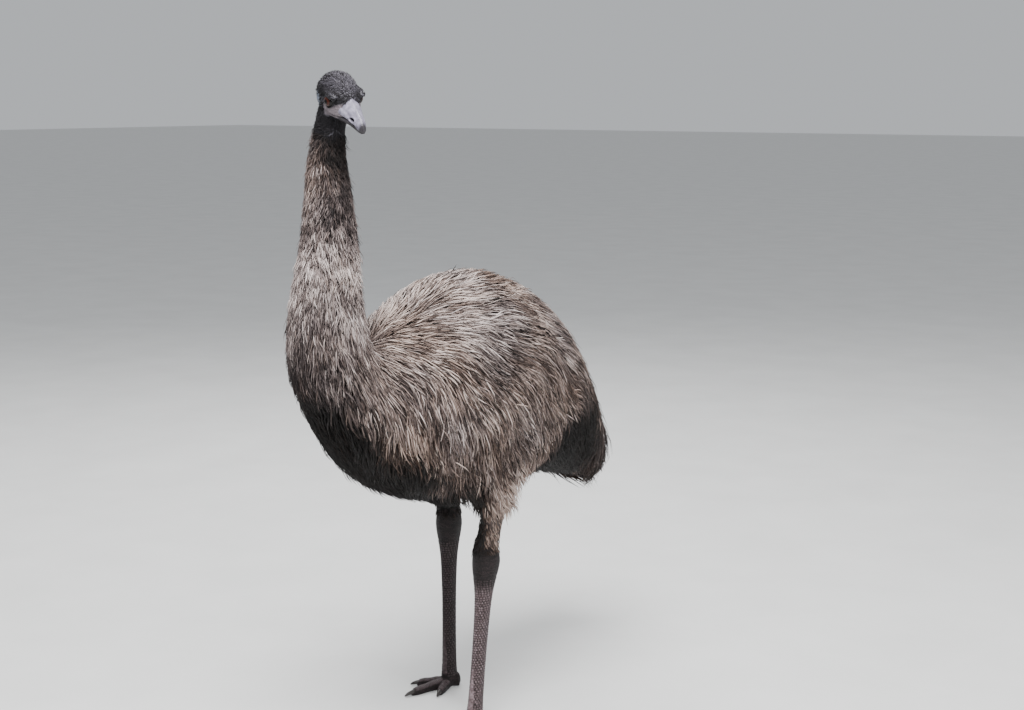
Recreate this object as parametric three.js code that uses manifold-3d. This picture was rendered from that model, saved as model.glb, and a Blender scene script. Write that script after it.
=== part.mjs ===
// Emu, a standing adult, in millimetres.
// Rows are written with the bird heading along -Y, its left side at +X and the floor at Z = 0.
// The flesh is modelled whole as lofts and then parted with thin plane cuts.
import * as THREE from 'three';
import Module from 'manifold-3d';

const wasm = await Module();
wasm.setup();

// driving dimensions
const GAP = 0.4;                 // width of each parting cut
const CREST_PEAK = 1172;         // highest point of the back
const NECK_TOP_Z = 1530;         // where the neck runs into the head
const HEAD_CUT_Z = 1512;         // parting of head and neck
const NECK_CUTS_Z = [1196, 1352];// partings inside the neck
const EYE_CENTRE = new THREE.Vector3(29, -456, 1590); // middle of the line between the eyes
const HEAD_YAW = 65;             // degrees the head is turned to the bird's left
const HEAD_PITCH = 21;           // degrees the bill points down
const HEAD_ROLL = 5;             // degrees the left side of the head is raised
const EYE_RADIUS = 15;           // eyeball
const EYE_LATERAL = 29;          // eyeball centre from the middle plane of the head
const HOCK_Z = { left: 436, right: 456 };
const THIGH_TUFT = { left: 122, right: 72 }; // where the drumstick's tuft begins, above the hock
const SHANK_CUT_Z = { left: 488, right: 510 };
const FOOT = { left: [85, -52, 12], right: [-142, 142, -16] }; // foot centre x, y, toe-out degrees
const HOCK = { left: [108, -29], right: [-150, 155] };
const HEEL = 28;                 // pad behind the foot centre
const TOE_ROOT = 42;             // parting of a toe from the foot, from the foot centre
const TRUNK_FRONT = -560;        // breast
const TRUNK_BACK = 645;          // end of the tail coverts
const TRUNK_WIDEST = 0.42;       // height of the widest line, as a share of the section
const TRUNK_POWERS = { upperPower: 1.85, lowerPower: 2.2 }; // roundness above and below it
const TRUNK_RINGS = 21;
const TRUNK_CROWDING = 0.6;      // how far the rings crowd towards the ends
const TRUNK_SIDES = 26;
const NECK_RINGS = 17;
const NECK_SIDES = 18;
const HEAD_SIDES = 20;
const BILL_SIDES = 12;
const LEG_SIDES = 11;
const TOE_SIDES = 10;

// small helpers

const radians = THREE.MathUtils.degToRad;

// smooth curve through pairs of a row number and a value, read as value at a row
function profile(pairs) {
  const points = pairs.map(([at, value]) => new THREE.Vector2(at, value));
  const line = new THREE.SplineCurve(points).getPoints(pairs.length * 16);
  return (at) => {
    if (at <= line[0].x) return line[0].y;
    for (let i = 1; i < line.length; i += 1) {
      if (at <= line[i].x) {
        const share = (at - line[i - 1].x) / Math.max(line[i].x - line[i - 1].x, 1e-6);
        return THREE.MathUtils.lerp(line[i - 1].y, line[i].y, share);
      }
    }
    return line[line.length - 1].y;
  };
}

// rounded outline: signed power of the cosine and sine, power 2 is an ellipse
function rounded(angle, power) {
  const bend = (value) => Math.sign(value) * Math.abs(value) ** (2 / power);
  return [bend(Math.cos(angle)), bend(Math.sin(angle))];
}

// one closed ring of points about a centre, with its own half sizes above, below and beside
function ring(section, sides) {
  const { centre, right, up, beside, above, below } = section;
  const upperPower = section.upperPower ?? 2;
  const lowerPower = section.lowerPower ?? 2;
  const points = [];
  for (let i = 0; i < sides; i += 1) {
    const angle = (i / sides) * 2 * Math.PI;
    const high = Math.sin(angle) >= 0;
    const [across, along] = rounded(angle, high ? upperPower : lowerPower);
    const point = centre.clone();
    point.addScaledVector(right, across * beside);
    point.addScaledVector(up, along * (high ? above : below));
    if (section.floor !== undefined) point.z = Math.max(point.z, section.floor);
    points.push(point);
  }
  return points;
}

// closed loft through rings, with a fan at each end
function loft(sections, sides) {
  const rings = sections.map((section) => ring(section, sides));
  const points = rings.flat();
  const faces = [];
  for (let r = 0; r < rings.length - 1; r += 1) {
    for (let i = 0; i < sides; i += 1) {
      const a = r * sides + i;
      const b = r * sides + ((i + 1) % sides);
      faces.push(a, b, a + sides, b, b + sides, a + sides);
    }
  }
  const middleOf = (list) => list
    .reduce((sum, point) => sum.add(point), new THREE.Vector3())
    .divideScalar(list.length);
  const first = points.push(middleOf(rings[0])) - 1;
  const last = points.push(middleOf(rings[rings.length - 1])) - 1;
  const lastRing = (rings.length - 1) * sides;
  for (let i = 0; i < sides; i += 1) {
    const next = (i + 1) % sides;
    faces.push(first, next, i);
    faces.push(last, lastRing + i, lastRing + next);
  }
  const geometry = new THREE.BufferGeometry().setFromPoints(points);
  geometry.setIndex(faces);
  return geometry;
}

// three.js geometry to a solid; a loft that came out inside out is turned round
function solid(geometry) {
  const build = (indices) => new wasm.Manifold(new wasm.Mesh({
    numProp: 3,
    vertProperties: new Float32Array(geometry.attributes.position.array),
    triVerts: new Uint32Array(indices),
  }));
  const indices = Array.from(geometry.index.array);
  const body = build(indices);
  if (body.volume() > 0) return body;
  const turned = [];
  for (let i = 0; i < indices.length; i += 3) {
    turned.push(indices[i], indices[i + 2], indices[i + 1]);
  }
  return build(turned);
}

// half of a solid on the side a normal points to, less half the parting gap
function side(body, normal, point) {
  const unit = normal.clone().normalize();
  return body.trimByPlane([unit.x, unit.y, unit.z], unit.dot(point) + GAP / 2);
}

function part(body, normal, point) {
  return [side(body, normal, point), side(body, normal.clone().negate(), point)];
}

const X_AXIS = new THREE.Vector3(1, 0, 0);
const Y_AXIS = new THREE.Vector3(0, 1, 0);
const Z_AXIS = new THREE.Vector3(0, 0, 1);

// trunk: rings across the body, from the breast to the end of the tail coverts
const crest = profile([
  [-560, 955], [-525, 995], [-430, 1010], [-340, 1040], [-235, 1112], [-112, 1158],
  [0, CREST_PEAK], [100, CREST_PEAK - 7], [200, 1130], [300, 1073], [400, 980],
  [490, 872], [560, 774], [612, 688], [645, 600],
]);
const keel = profile([
  [-560, 925], [-532, 872], [-485, 818], [-437, 766], [-390, 718], [-315, 658],
  [-230, 618], [-170, 603], [-60, 598], [80, 603], [240, 599], [380, 572], [500, 545], [595, 532],
  [645, 568],
]);
const halfWidth = profile([
  [-560, 22], [-538, 62], [-490, 100], [-415, 140], [-325, 178], [-220, 212], [-100, 236],
  [20, 246], [150, 238], [280, 214], [400, 172], [500, 128], [570, 88], [620, 48], [645, 18],
]);

// share along a loft with its rings crowded towards the two ends
function crowded(even) {
  return 0.5 - 0.5 * Math.cos(even * Math.PI);
}

function trunkLoft(grow) {
  const sections = [];
  for (let i = 0; i <= TRUNK_RINGS; i += 1) {
    const even = i / TRUNK_RINGS;
    const share = THREE.MathUtils.lerp(even, crowded(even), TRUNK_CROWDING);
    const y = THREE.MathUtils.lerp(TRUNK_FRONT, TRUNK_BACK, share);
    const top = crest(y);
    const bottom = keel(y);
    const widest = THREE.MathUtils.lerp(bottom, top, TRUNK_WIDEST);
    sections.push({
      centre: new THREE.Vector3(0, y, widest),
      right: X_AXIS,
      up: Z_AXIS,
      beside: halfWidth(y) + grow,
      above: top - widest + grow,
      below: widest - bottom + grow,
      ...TRUNK_POWERS,
    });
  }
  return loft(sections, TRUNK_SIDES);
}

// neck: rings along a curve that rises out of the breast
const neckLine = new THREE.CatmullRomCurve3([
  [0, -320, 880], [0, -395, 898], [0, -455, 945], [0, -484, 1010], [0, -493, 1070],
  [-3, -489, 1142], [-12, -467, 1255],
  [-22, -455, 1367], [-30, -449, 1457], [-27, -440, NECK_TOP_Z], [-12, -440, 1575],
].map(([x, y, z]) => new THREE.Vector3(x, y, z)));
const neckAcross = profile([
  [880, 108], [930, 108], [1010, 100.5], [1062, 95], [1142, 84], [1255, 69], [1367, 56.5], [1457, 45.5],
  [1523, 39], [1575, 34],
]);
const NECK_DEEPER = 1.06;        // fore and aft size against the size across

function neckLoft() {
  const sections = [];
  for (let i = 0; i <= NECK_RINGS; i += 1) {
    const share = i / NECK_RINGS;
    const centre = neckLine.getPointAt(share);
    const along = neckLine.getTangentAt(share);
    const right = new THREE.Vector3().crossVectors(along, Y_AXIS).normalize();
    if (right.x < 0) right.negate();
    const up = new THREE.Vector3().crossVectors(right, along).normalize();
    const across = neckAcross(centre.z);
    sections.push({
      centre,
      right,
      up,
      beside: across,
      above: across * NECK_DEEPER,
      below: across * NECK_DEEPER,
    });
  }
  return loft(sections, NECK_SIDES);
}

// head frame: forward along the bill, left of the head, and up
const headForward = new THREE.Vector3(0, -1, 0);
const headLeft = new THREE.Vector3(1, 0, 0);
const headUp = new THREE.Vector3(0, 0, 1);
const headTurn = new THREE.Matrix4()
  .makeRotationZ(radians(HEAD_YAW))
  .multiply(new THREE.Matrix4().makeRotationX(radians(HEAD_PITCH)))
  .multiply(new THREE.Matrix4().makeRotationY(radians(-HEAD_ROLL)));
for (const axis of [headForward, headLeft, headUp]) axis.applyMatrix4(headTurn);

function headPoint(forward, left, up) {
  return EYE_CENTRE.clone()
    .addScaledVector(headForward, forward)
    .addScaledVector(headLeft, left)
    .addScaledVector(headUp, up);
}

// rings across the head from rows of forward place, half width, top and bottom
function headLoft(rows, options, grow = 0, sides = BILL_SIDES) {
  const sections = rows.map(([forward, beside, top, bottom]) => {
    const middle = THREE.MathUtils.lerp(bottom, top, options.widest);
    return {
      centre: headPoint(forward, 0, middle),
      right: headLeft,
      up: headUp,
      beside: beside + grow,
      above: top - middle + grow,
      below: middle - bottom + grow,
      upperPower: options.upperPower,
      lowerPower: options.lowerPower,
    };
  });
  return loft(sections, sides);
}

function smoothRows(rows, count) {
  const curves = [1, 2, 3].map((column) => profile(rows.map((row) => [row[0], row[column]])));
  const first = rows[0][0];
  const last = rows[rows.length - 1][0];
  const result = [];
  for (let i = 0; i <= count; i += 1) {
    const at = THREE.MathUtils.lerp(first, last, crowded(i / count));
    result.push([at, ...curves.map((curve) => curve(at))]);
  }
  return result;
}

const SKULL = smoothRows([
  [-84, 8, 4, -8], [-77, 26, 24, -26], [-62, 40, 42, -42], [-38, 45, 53, -50], [-12, 42, 52, -49],
  [8, 40, 45, -45], [24, 35, 35, -41], [38, 28, 24, -37], [50, 18, 12, -34], [56, 9, 2, -30],
], 12);
const UPPER_BILL = smoothRows([
  [18, 27, 14, -24], [34, 27, 19, -22], [50, 24, 15, -22], [68, 19, 9, -22], [86, 15, 1, -24],
  [102, 11, -8, -28], [112, 7, -17, -32], [118, 2.5, -27, -33],
], 8);
const LOWER_BILL = smoothRows([
  [8, 25, -25, -40], [30, 24, -24.5, -40], [50, 20, -24.5, -38], [70, 16, -24.5, -36.5],
  [90, 12, -26.5, -37], [104, 8, -30.5, -38], [111, 3, -33.5, -37.5],
], 7);

const BROW_SIZE = [13, 28, 9];   // half sizes: across, along and up
const BROW_PLACE = [4, 34, 18];  // from between the eyes: forward, to the side and up
const BROW_SLOPE = -8;           // degrees

function eyeGeometry(sideSign, radius) {
  const geometry = new THREE.IcosahedronGeometry(radius, 2);
  const centre = headPoint(0, sideSign * EYE_LATERAL, 0);
  geometry.translate(centre.x, centre.y, centre.z);
  return geometry;
}

// brow ridge over an eye
function browGeometry(sideSign) {
  const geometry = new THREE.SphereGeometry(1, 12, 6);
  geometry.scale(...BROW_SIZE);
  geometry.rotateX(radians(BROW_SLOPE));
  geometry.applyMatrix4(headTurn);
  const [forward, lateral, up] = BROW_PLACE;
  const centre = headPoint(forward, sideSign * lateral, up);
  geometry.translate(centre.x, centre.y, centre.z);
  return geometry;
}

// a polyhedron geometry has loose corners, so equal ones are joined before it becomes a solid
function welded(geometry) {
  const loose = geometry.index ? geometry.toNonIndexed() : geometry;
  const position = loose.attributes.position;
  const seen = new Map();
  const points = [];
  const index = [];
  for (let i = 0; i < position.count; i += 1) {
    const point = new THREE.Vector3().fromBufferAttribute(position, i);
    const key = point.toArray().map((value) => Math.round(value * 1000)).join(' ');
    if (!seen.has(key)) seen.set(key, points.push(point) - 1);
    index.push(seen.get(key));
  }
  const result = new THREE.BufferGeometry().setFromPoints(points);
  result.setIndex(index);
  return result;
}

// legs
function legLoft(rows) {
  const sections = rows.map(([x, y, z, across, deep]) => ({
    centre: new THREE.Vector3(x, y, z),
    right: X_AXIS,
    up: Y_AXIS,
    beside: across,
    above: deep,
    below: deep,
  }));
  return loft(sections, LEG_SIDES);
}

// drumstick: the thin feathered shin above the hock, then the tuft that runs up into the coat
function thighGeometry(name) {
  const [hockX, hockY] = HOCK[name];
  const hockZ = HOCK_Z[name];
  const tuft = THIGH_TUFT[name];
  const out = Math.sign(hockX);
  const shape = [
    [30, 4, 0, 25, 31], [tuft * 0.6, 12, 0, 24.5, 30], [tuft, 22, -2, 29, 37],
    [tuft + 24, 26, -4, 42, 54], [tuft + 62, 26, -8, 58, 78], [tuft + 120, 16, -12, 70, 98],
    [330, 0, -16, 60, 84],
  ];
  return legLoft(shape.map(([rise, outward, back, across, deep]) => [
    hockX + out * outward, hockY + back, hockZ + rise, across, deep,
  ]));
}

function shankGeometry(name) {
  const [hockX, hockY] = HOCK[name];
  const [footX, footY] = FOOT[name];
  const hockZ = HOCK_Z[name];
  const rows = [];
  const shape = [
    [0.0, 21, 28], [0.06, 18, 25], [0.2, 15.5, 23], [0.5, 15.2, 23], [0.75, 18.5, 26],
    [0.86, 24, 30], [0.94, 31, 36], [1.0, 34.5, 38], [1.05, 33, 37], [1.11, 28, 34], [1.24, 25, 31],
  ];
  for (const [share, across, deep] of shape) {
    const z = THREE.MathUtils.lerp(12, hockZ, share);
    const x = THREE.MathUtils.lerp(footX, hockX, Math.min(share, 1));
    const y = THREE.MathUtils.lerp(footY, hockY, Math.min(share, 1));
    rows.push([x, y, z, across, deep]);
  }
  return legLoft(rows);
}

// toes: name, angle from the foot's heading, reach, half width at the root and at the tip
const TOES = [
  { name: 'middle', angle: 0, reach: 128, root: 17, tip: 10.5, claw: 31 },
  { name: 'inner', angle: -34, reach: 84, root: 14.5, tip: 9, claw: 27 },
  { name: 'outer', angle: 36, reach: 90, root: 15, tip: 9.5, claw: 26 },
];
const JOINTS = [0.3, 0.55, 0.8]; // swollen toe pads, as shares of the reach
const JOINT_LENGTH = 0.07;       // length of a pad's swelling, as a share of the reach
const TOE_HEIGHT = [34, 17];     // at the root and at the tip
const TOE_RINGS = 9;
const CLAW_HALF_HEIGHT = 6.4;
const CLAW_SET_IN = 9;           // how far the claw's root lies back in the toe
const CLAW_RINGS = 5;
const CLAW_SIDES = 8;

function toeFrame(name, toe) {
  const [footX, footY, toeOut] = FOOT[name];
  const out = Math.sign(footX);
  const heading = radians(Math.abs(toeOut) + toe.angle) * out;
  const forward = new THREE.Vector3(Math.sin(heading), -Math.cos(heading), 0);
  const right = new THREE.Vector3(Math.cos(heading), Math.sin(heading), 0);
  return { origin: new THREE.Vector3(footX, footY, 0), forward, right };
}

function toeGeometry(name, toe, grow = 0) {
  const { origin, forward, right } = toeFrame(name, toe);
  const sections = [];
  for (let i = 0; i <= TOE_RINGS; i += 1) {
    const share = i / TOE_RINGS;
    const swell = JOINTS
      .reduce((sum, at) => sum + Math.exp(-(((share - at) / JOINT_LENGTH) ** 2)), 0);
    const blunt = Math.sqrt(Math.max(1 - Math.max((share - 0.9) / 0.11, 0) ** 2, 0.05));
    const across = (THREE.MathUtils.lerp(toe.root, toe.tip, share) + 1.6 * swell) * blunt;
    const height = THREE.MathUtils.lerp(...TOE_HEIGHT, share ** 0.7) * blunt + 1.2 * swell;
    const middle = height * 0.42;
    const centre = origin.clone().addScaledVector(forward, THREE.MathUtils.lerp(-HEEL, toe.reach, share));
    centre.z = middle;
    sections.push({
      centre,
      right,
      up: Z_AXIS,
      beside: across + grow,
      above: height - middle + grow,
      below: middle + 4,
      floor: -grow,
    });
  }
  return loft(sections, TOE_SIDES);
}

function clawGeometry(name, toe, grow) {
  const { origin, forward, right } = toeFrame(name, toe);
  const sections = [];
  for (let i = 0; i <= CLAW_RINGS; i += 1) {
    const share = i / CLAW_RINGS;
    const size = Math.sqrt(1 - share * share * 0.97);
    const across = toe.tip * 0.62 * size + grow;
    const high = CLAW_HALF_HEIGHT * size + grow;
    const centre = origin.clone()
      .addScaledVector(forward, toe.reach - CLAW_SET_IN + share * toe.claw);
    centre.z = 9.5 - 5.5 * share * share;
    sections.push({
      centre, right, up: Z_AXIS, beside: across, above: high, below: high * 0.8, floor: 0.8,
    });
  }
  return loft(sections, CLAW_SIDES);
}

// vestigial wing: a long flat lump in the flank, flush with the coat
const WING_SIZE = [30, 105, 42]; // half sizes: across, along and up
const WING_PLACE = [226, -150, 905];
const WING_SLOPE = -16;          // degrees

function wingGeometry(out, grow) {
  const geometry = new THREE.SphereGeometry(1, 12, 6);
  geometry.scale(...WING_SIZE.map((half) => half + grow));
  geometry.rotateX(radians(WING_SLOPE));
  geometry.translate(out * WING_PLACE[0], WING_PLACE[1], WING_PLACE[2]);
  return welded(geometry);
}

// flesh
const trunkWhole = solid(trunkLoft(0));
const neckWhole = solid(neckLoft());
const skullOptions = { widest: 0.46, upperPower: 2.1, lowerPower: 2.2 };
const skullWhole = solid(headLoft(SKULL, skullOptions, 0, HEAD_SIDES));
const billOptions = { widest: 0.25, upperPower: 1.75, lowerPower: 2.6 };
const jawOptions = { widest: 0.8, upperPower: 2.6, lowerPower: 2.0 };
const upperBill = solid(headLoft(UPPER_BILL, billOptions));
const lowerBill = solid(headLoft(LOWER_BILL, jawOptions));
const bills = solid(headLoft(UPPER_BILL, billOptions, GAP))
  .add(solid(headLoft(LOWER_BILL, jawOptions, GAP)));

const pieces = {};
const body = trunkWhole.add(neckWhole).add(skullWhole);

const neckBasePoint = new THREE.Vector3(0, -455, 985);
const neckBaseNormal = new THREE.Vector3(0, -0.7, 0.71);
const [aboveBase, belowBase] = part(body, neckBaseNormal, neckBasePoint);

const [head, neckPart] = part(aboveBase, Z_AXIS, new THREE.Vector3(0, 0, HEAD_CUT_Z));
const [upperNeck, restNeck] = part(neckPart, Z_AXIS, new THREE.Vector3(0, 0, NECK_CUTS_Z[1]));
const [middleNeck, lowerNeck] = part(restNeck, Z_AXIS, new THREE.Vector3(0, 0, NECK_CUTS_Z[0]));
pieces.neck_upper = upperNeck;
pieces.neck_middle = middleNeck;
pieces.neck_lower = lowerNeck;

let headSolid = head.subtract(bills);
for (const [name, sign] of [['left', 1], ['right', -1]]) {
  headSolid = headSolid.add(solid(welded(browGeometry(sign))));
  headSolid = headSolid.subtract(solid(welded(eyeGeometry(sign, EYE_RADIUS + GAP))));
  pieces[`eye_${name}`] = solid(welded(eyeGeometry(sign, EYE_RADIUS)));
}
pieces.head = headSolid;
pieces.bill_upper = upperBill;
pieces.bill_lower = lowerBill.subtract(solid(headLoft(UPPER_BILL, billOptions, GAP)));

const tailNormal = new THREE.Vector3(0, 1, -0.35);
const tailPoint = new THREE.Vector3(0, 470, 800);
const [tail, trunkPart] = part(belowBase, tailNormal, tailPoint);
pieces.tail = tail;
let trunk = trunkPart;
for (const [name, out] of [['left', 1], ['right', -1]]) {
  pieces[`wing_${name}`] = trunk.intersect(solid(wingGeometry(out, 0)));
  trunk = trunk.subtract(solid(wingGeometry(out, GAP)));
}
pieces.trunk = trunk;

const trunkGrown = solid(trunkLoft(GAP));
for (const name of ['left', 'right']) {
  const leg = solid(thighGeometry(name)).subtract(trunkGrown);
  const cut = new THREE.Vector3(0, 0, SHANK_CUT_Z[name]);
  pieces[`thigh_${name}`] = side(leg, Z_AXIS, cut);
  let shank = side(solid(shankGeometry(name)), Z_AXIS.clone().negate(), cut)
    .trimByPlane([0, 0, 1], 0);
  for (const toe of TOES) {
    const { origin, forward } = toeFrame(name, toe);
    const root = origin.clone().addScaledVector(forward, TOE_ROOT);
    const [outer, inner] = part(solid(toeGeometry(name, toe)), forward, root);
    let free = outer.subtract(solid(clawGeometry(name, toe, GAP)));
    if (toe !== TOES[0]) free = free.subtract(solid(toeGeometry(name, TOES[0], GAP)));
    pieces[`toe_${toe.name}_${name}`] = free;
    pieces[`claw_${toe.name}_${name}`] = solid(clawGeometry(name, toe, 0));
    shank = shank.add(inner);
  }
  for (const toe of TOES) {
    const { origin, forward } = toeFrame(name, toe);
    const root = origin.clone().addScaledVector(forward, TOE_ROOT - GAP);
    shank = shank.subtract(side(solid(toeGeometry(name, toe, GAP)), forward, root));
  }
  pieces[`shank_${name}`] = shank;
}

// looks of the parts, as slot colours
const LOOKS = {
  coat: { color: 0x4a3d36, roughness: 0.85 },
  dark: { color: 0x24211f, roughness: 0.9 },
  bill: { color: 0x8d8a95, roughness: 0.5 },
  eye: { color: 0x3a1a10, roughness: 0.08 },
  scales: { color: 0x4c3f3a, roughness: 0.7 },
  claw: { color: 0x1f1c1b, roughness: 0.4 },
};

function lookOf(name) {
  if (name.startsWith('bill')) return 'bill';
  if (name.startsWith('eye')) return 'eye';
  if (name.startsWith('claw')) return 'claw';
  if (name.startsWith('shank') || name.startsWith('toe')) return 'scales';
  if (name === 'head' || name === 'neck_upper') return 'dark';
  return 'coat';
}

// solid back to a three.js mesh
function meshOf(name, body) {
  const source = body.getMesh();
  const positions = [];
  for (let i = 0; i < source.vertProperties.length; i += source.numProp) {
    positions.push(new THREE.Vector3(
      source.vertProperties[i],
      source.vertProperties[i + 1],
      source.vertProperties[i + 2],
    ));
  }
  const geometry = new THREE.BufferGeometry().setFromPoints(positions);
  geometry.setIndex(Array.from(source.triVerts));
  geometry.computeVertexNormals();
  const material = new THREE.MeshStandardMaterial({ ...LOOKS[lookOf(name)], metalness: 0 });
  const mesh = new THREE.Mesh(geometry, material);
  mesh.name = name;
  return mesh;
}

const group = new THREE.Group();
group.name = 'emu';
for (const [name, body] of Object.entries(pieces)) group.add(meshOf(name, body));

// the frame's origin is under the middle of the whole bird, at floor height
const box = new THREE.Box3().setFromObject(group);
const shift = box.getCenter(new THREE.Vector3()).setZ(box.min.z).negate();
for (const mesh of group.children) mesh.geometry.translate(shift.x, shift.y, shift.z);

export default group;
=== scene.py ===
"""A standing adult emu: skin, coat, head, bill, eyes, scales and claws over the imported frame."""

import math

import bmesh
import bpy
import numpy as np
from mathutils import Matrix, Vector
from mathutils.bvhtree import BVHTree
from mathutils.kdtree import KDTree


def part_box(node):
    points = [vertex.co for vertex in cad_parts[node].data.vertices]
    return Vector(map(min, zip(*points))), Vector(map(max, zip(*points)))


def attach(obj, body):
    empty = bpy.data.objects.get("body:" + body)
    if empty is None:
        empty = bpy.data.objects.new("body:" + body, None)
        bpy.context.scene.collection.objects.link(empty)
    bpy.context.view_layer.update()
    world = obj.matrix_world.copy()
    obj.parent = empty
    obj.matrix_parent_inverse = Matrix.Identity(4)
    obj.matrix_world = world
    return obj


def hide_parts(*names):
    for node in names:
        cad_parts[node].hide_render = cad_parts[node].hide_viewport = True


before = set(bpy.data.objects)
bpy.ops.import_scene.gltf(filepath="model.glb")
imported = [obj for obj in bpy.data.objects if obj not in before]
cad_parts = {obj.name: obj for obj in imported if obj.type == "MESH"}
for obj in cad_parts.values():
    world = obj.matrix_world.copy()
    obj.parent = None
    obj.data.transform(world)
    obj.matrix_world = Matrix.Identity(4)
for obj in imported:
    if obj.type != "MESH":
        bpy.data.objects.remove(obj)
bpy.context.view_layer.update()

# driving sizes in millimetres, in the bird's own frame: it heads along -Y, left is +X
MM = 0.001
EYE_CENTRE = np.array([29.0, -456.0, 1590.0])
HEAD_YAW = 65.0
HEAD_PITCH = 21.0
HEAD_ROLL = 5.0
HOCK_Z = {"left": 436.0, "right": 456.0}
HOCK = {"left": (108.0, -29.0), "right": (-150.0, 155.0)}
FOOT = {"left": (85.0, -52.0, 12.0), "right": (-142.0, 142.0, -16.0)}    # x, y, toe-out degrees
TUFT_RISE = {"left": 122.0, "right": 72.0}    # from the hock up to the tuft of the thigh
HEEL = 28.0                      # from the middle of the foot back to the heel
TOES = {
    "middle": {"angle": 0.0, "reach": 128.0, "root": 17.0, "tip": 10.5, "claw": 31.0},
    "inner": {"angle": -34.0, "reach": 84.0, "root": 14.5, "tip": 9.0, "claw": 27.0},
    "outer": {"angle": 36.0, "reach": 90.0, "root": 15.0, "tip": 9.5, "claw": 26.0},
}
TOE_PADS = (0.3, 0.55, 0.8)      # swollen pads, as shares of the toe
TOE_WIDEST = 0.42                # height of a toe's widest line, as a share of the toe's height
# the bare leg: share of the hock's height, half width, half depth
SHANK_SHAPE = (
    (0.0, 21, 28), (0.06, 18, 25), (0.2, 15.5, 23), (0.5, 15.2, 23), (0.75, 18.5, 26),
    (0.86, 24, 30), (0.94, 31, 36), (1.0, 34.5, 38), (1.05, 32, 36.5), (1.09, 28, 33),
    (1.15, 23, 28.5),
)
# middle of the neck, from inside the breast up into the head
NECK_LINE = np.array([
    (0, -320, 880), (0, -395, 898), (0, -455, 945), (0, -484, 1010), (0, -493, 1070),
    (-3, -489, 1142), (-12, -467, 1255), (-22, -455, 1367), (-30, -449, 1457),
    (-27, -440, 1530), (-12, -440, 1575),
], float)
NECK_BASE = (0, -455, 985)
NECK_BASE_FACING = np.array([0.0, -0.7, 0.71])
FAN_CENTRE = (0, -455, 1085)     # the coat of the trunk fans out from here

# head shapes in millimetres, in the head's own frame: forward, half width, top, bottom
SKULL = (
    (-84, 8, 4, -8), (-77, 26, 24, -26), (-62, 40, 42, -42), (-38, 45, 53, -50),
    (-12, 42, 52, -49), (8, 40, 45, -45), (24, 35, 35, -41), (38, 28, 24, -37),
    (50, 18, 12, -34), (56, 9, 2, -30),
)
UPPER_BILL = (
    (18, 27, 14, -24), (34, 27, 19, -22), (50, 24, 15, -22), (68, 19, 9, -22), (86, 15, 1, -24),
    (102, 11, -8, -28), (112, 7, -17, -32), (118, 2.5, -27, -33),
)
LOWER_BILL = (
    (8, 25, -25, -40), (30, 24, -23, -40), (50, 20.5, -20.5, -38), (70, 17, -20.5, -36.5),
    (90, 12.5, -23, -37), (104, 8.5, -27.5, -38), (111, 3.5, -32, -37.5),
)
EYE_RADIUS = 16.0
EYE_FORWARD = 2.5                # the gap between the lids is a little ahead of the eyeball
EYE_UP = -0.5
EYE_OPENING = 13.0               # radius of that gap
LID_RING = 15.2                  # radius of the raised ring of the lids
GAPE_FROM = -14.0                # back corner of the mouth
BODY_NODES = (
    "trunk", "tail", "wing_left", "wing_right", "neck_lower", "neck_middle", "neck_upper",
    "head", "thigh_left", "thigh_right",
)
LEG_NODES = tuple(
    f"{part}_{side}"
    for side in ("left", "right")
    for part in ("shank", "toe_middle", "toe_inner", "toe_outer")
)

# the camera, in metres
CAMERA_PLACE = (2.4073, -3.2206, 1.6)
CAMERA_AZIMUTH = 37.0
CAMERA_SWING = -1.96
CAMERA_PITCH = 9.23
CAMERA_LENS = 56.25

TAIL_START = 0.38                # metres back from the middle
PLATES_FROM = 0.06               # lowest and highest front plates, as shares of the hock height
PLATES_TO = 0.34
NET_PITCH = 0.0078               # size of one scale of the net, in metres
BODY_VOXEL = 0.009               # metres
HEAD_VOXEL = 0.0019
LEG_VOXEL = 0.0028
TRUNK_LOCKS = 40000
NECK_LOCKS = 13800
THIGH_LOCKS = 4700
HEAD_LOCKS = 9500
DENSITY = 1.0    # share of the locks that is grown
RIGHT = np.array([1.0, 0.0, 0.0])
BACK = np.array([0.0, 1.0, 0.0])
UP = np.array([0.0, 0.0, 1.0])
DOWN = -UP


# small helpers

def unit(vectors):
    return vectors / np.maximum(np.linalg.norm(vectors, axis=-1, keepdims=True), 1e-9)


def smooth(low, high, values):
    share = np.clip((np.asarray(values, float) - low) / (high - low), 0.0, 1.0)
    return share * share * (3.0 - 2.0 * share)


def mix(first, second, share):
    return first + (second - first) * share


def bump(values, centre, width):
    return np.exp(-(((np.asarray(values) - centre) / width) ** 2))


def box_middle(node):
    low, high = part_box(node)
    return np.array((low + high) / 2)


def profile(pairs):
    """Smooth curve through pairs of a place and a value, read as the value at a place."""
    points = np.array(pairs, float)
    padded = np.vstack([points[:1], points, points[-1:]])
    share = np.linspace(0.0, 1.0, 12, endpoint=False)[:, None]
    line = []
    for i in range(len(points) - 1):
        before, here, there, after = padded[i:i + 4]
        leave = (there - before) * 0.5
        arrive = (after - here) * 0.5
        line.append(
            (2 * here - 2 * there + leave + arrive) * share ** 3
            + (-3 * here + 3 * there - 2 * leave - arrive) * share ** 2
            + leave * share + here
        )
    line = np.vstack([*line, points[-1:]])
    return lambda at: np.interp(at, line[:, 0], line[:, 1])


class Waves:
    """Smooth random field over space, about -1 to 1, made of a few plane waves."""

    def __init__(self, size, seed, count=9):
        rng = np.random.default_rng(seed)
        self.pitch = unit(rng.normal(size=(count, 3))) * (2 * math.pi / size)
        self.pitch *= rng.uniform(0.6, 1.6, (count, 1))
        self.phase = rng.uniform(0, 2 * math.pi, count)
        self.level = math.sqrt(2.0 / count)

    def __call__(self, points):
        return np.sin(points @ self.pitch.T + self.phase).sum(1) * self.level * 0.7


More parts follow.
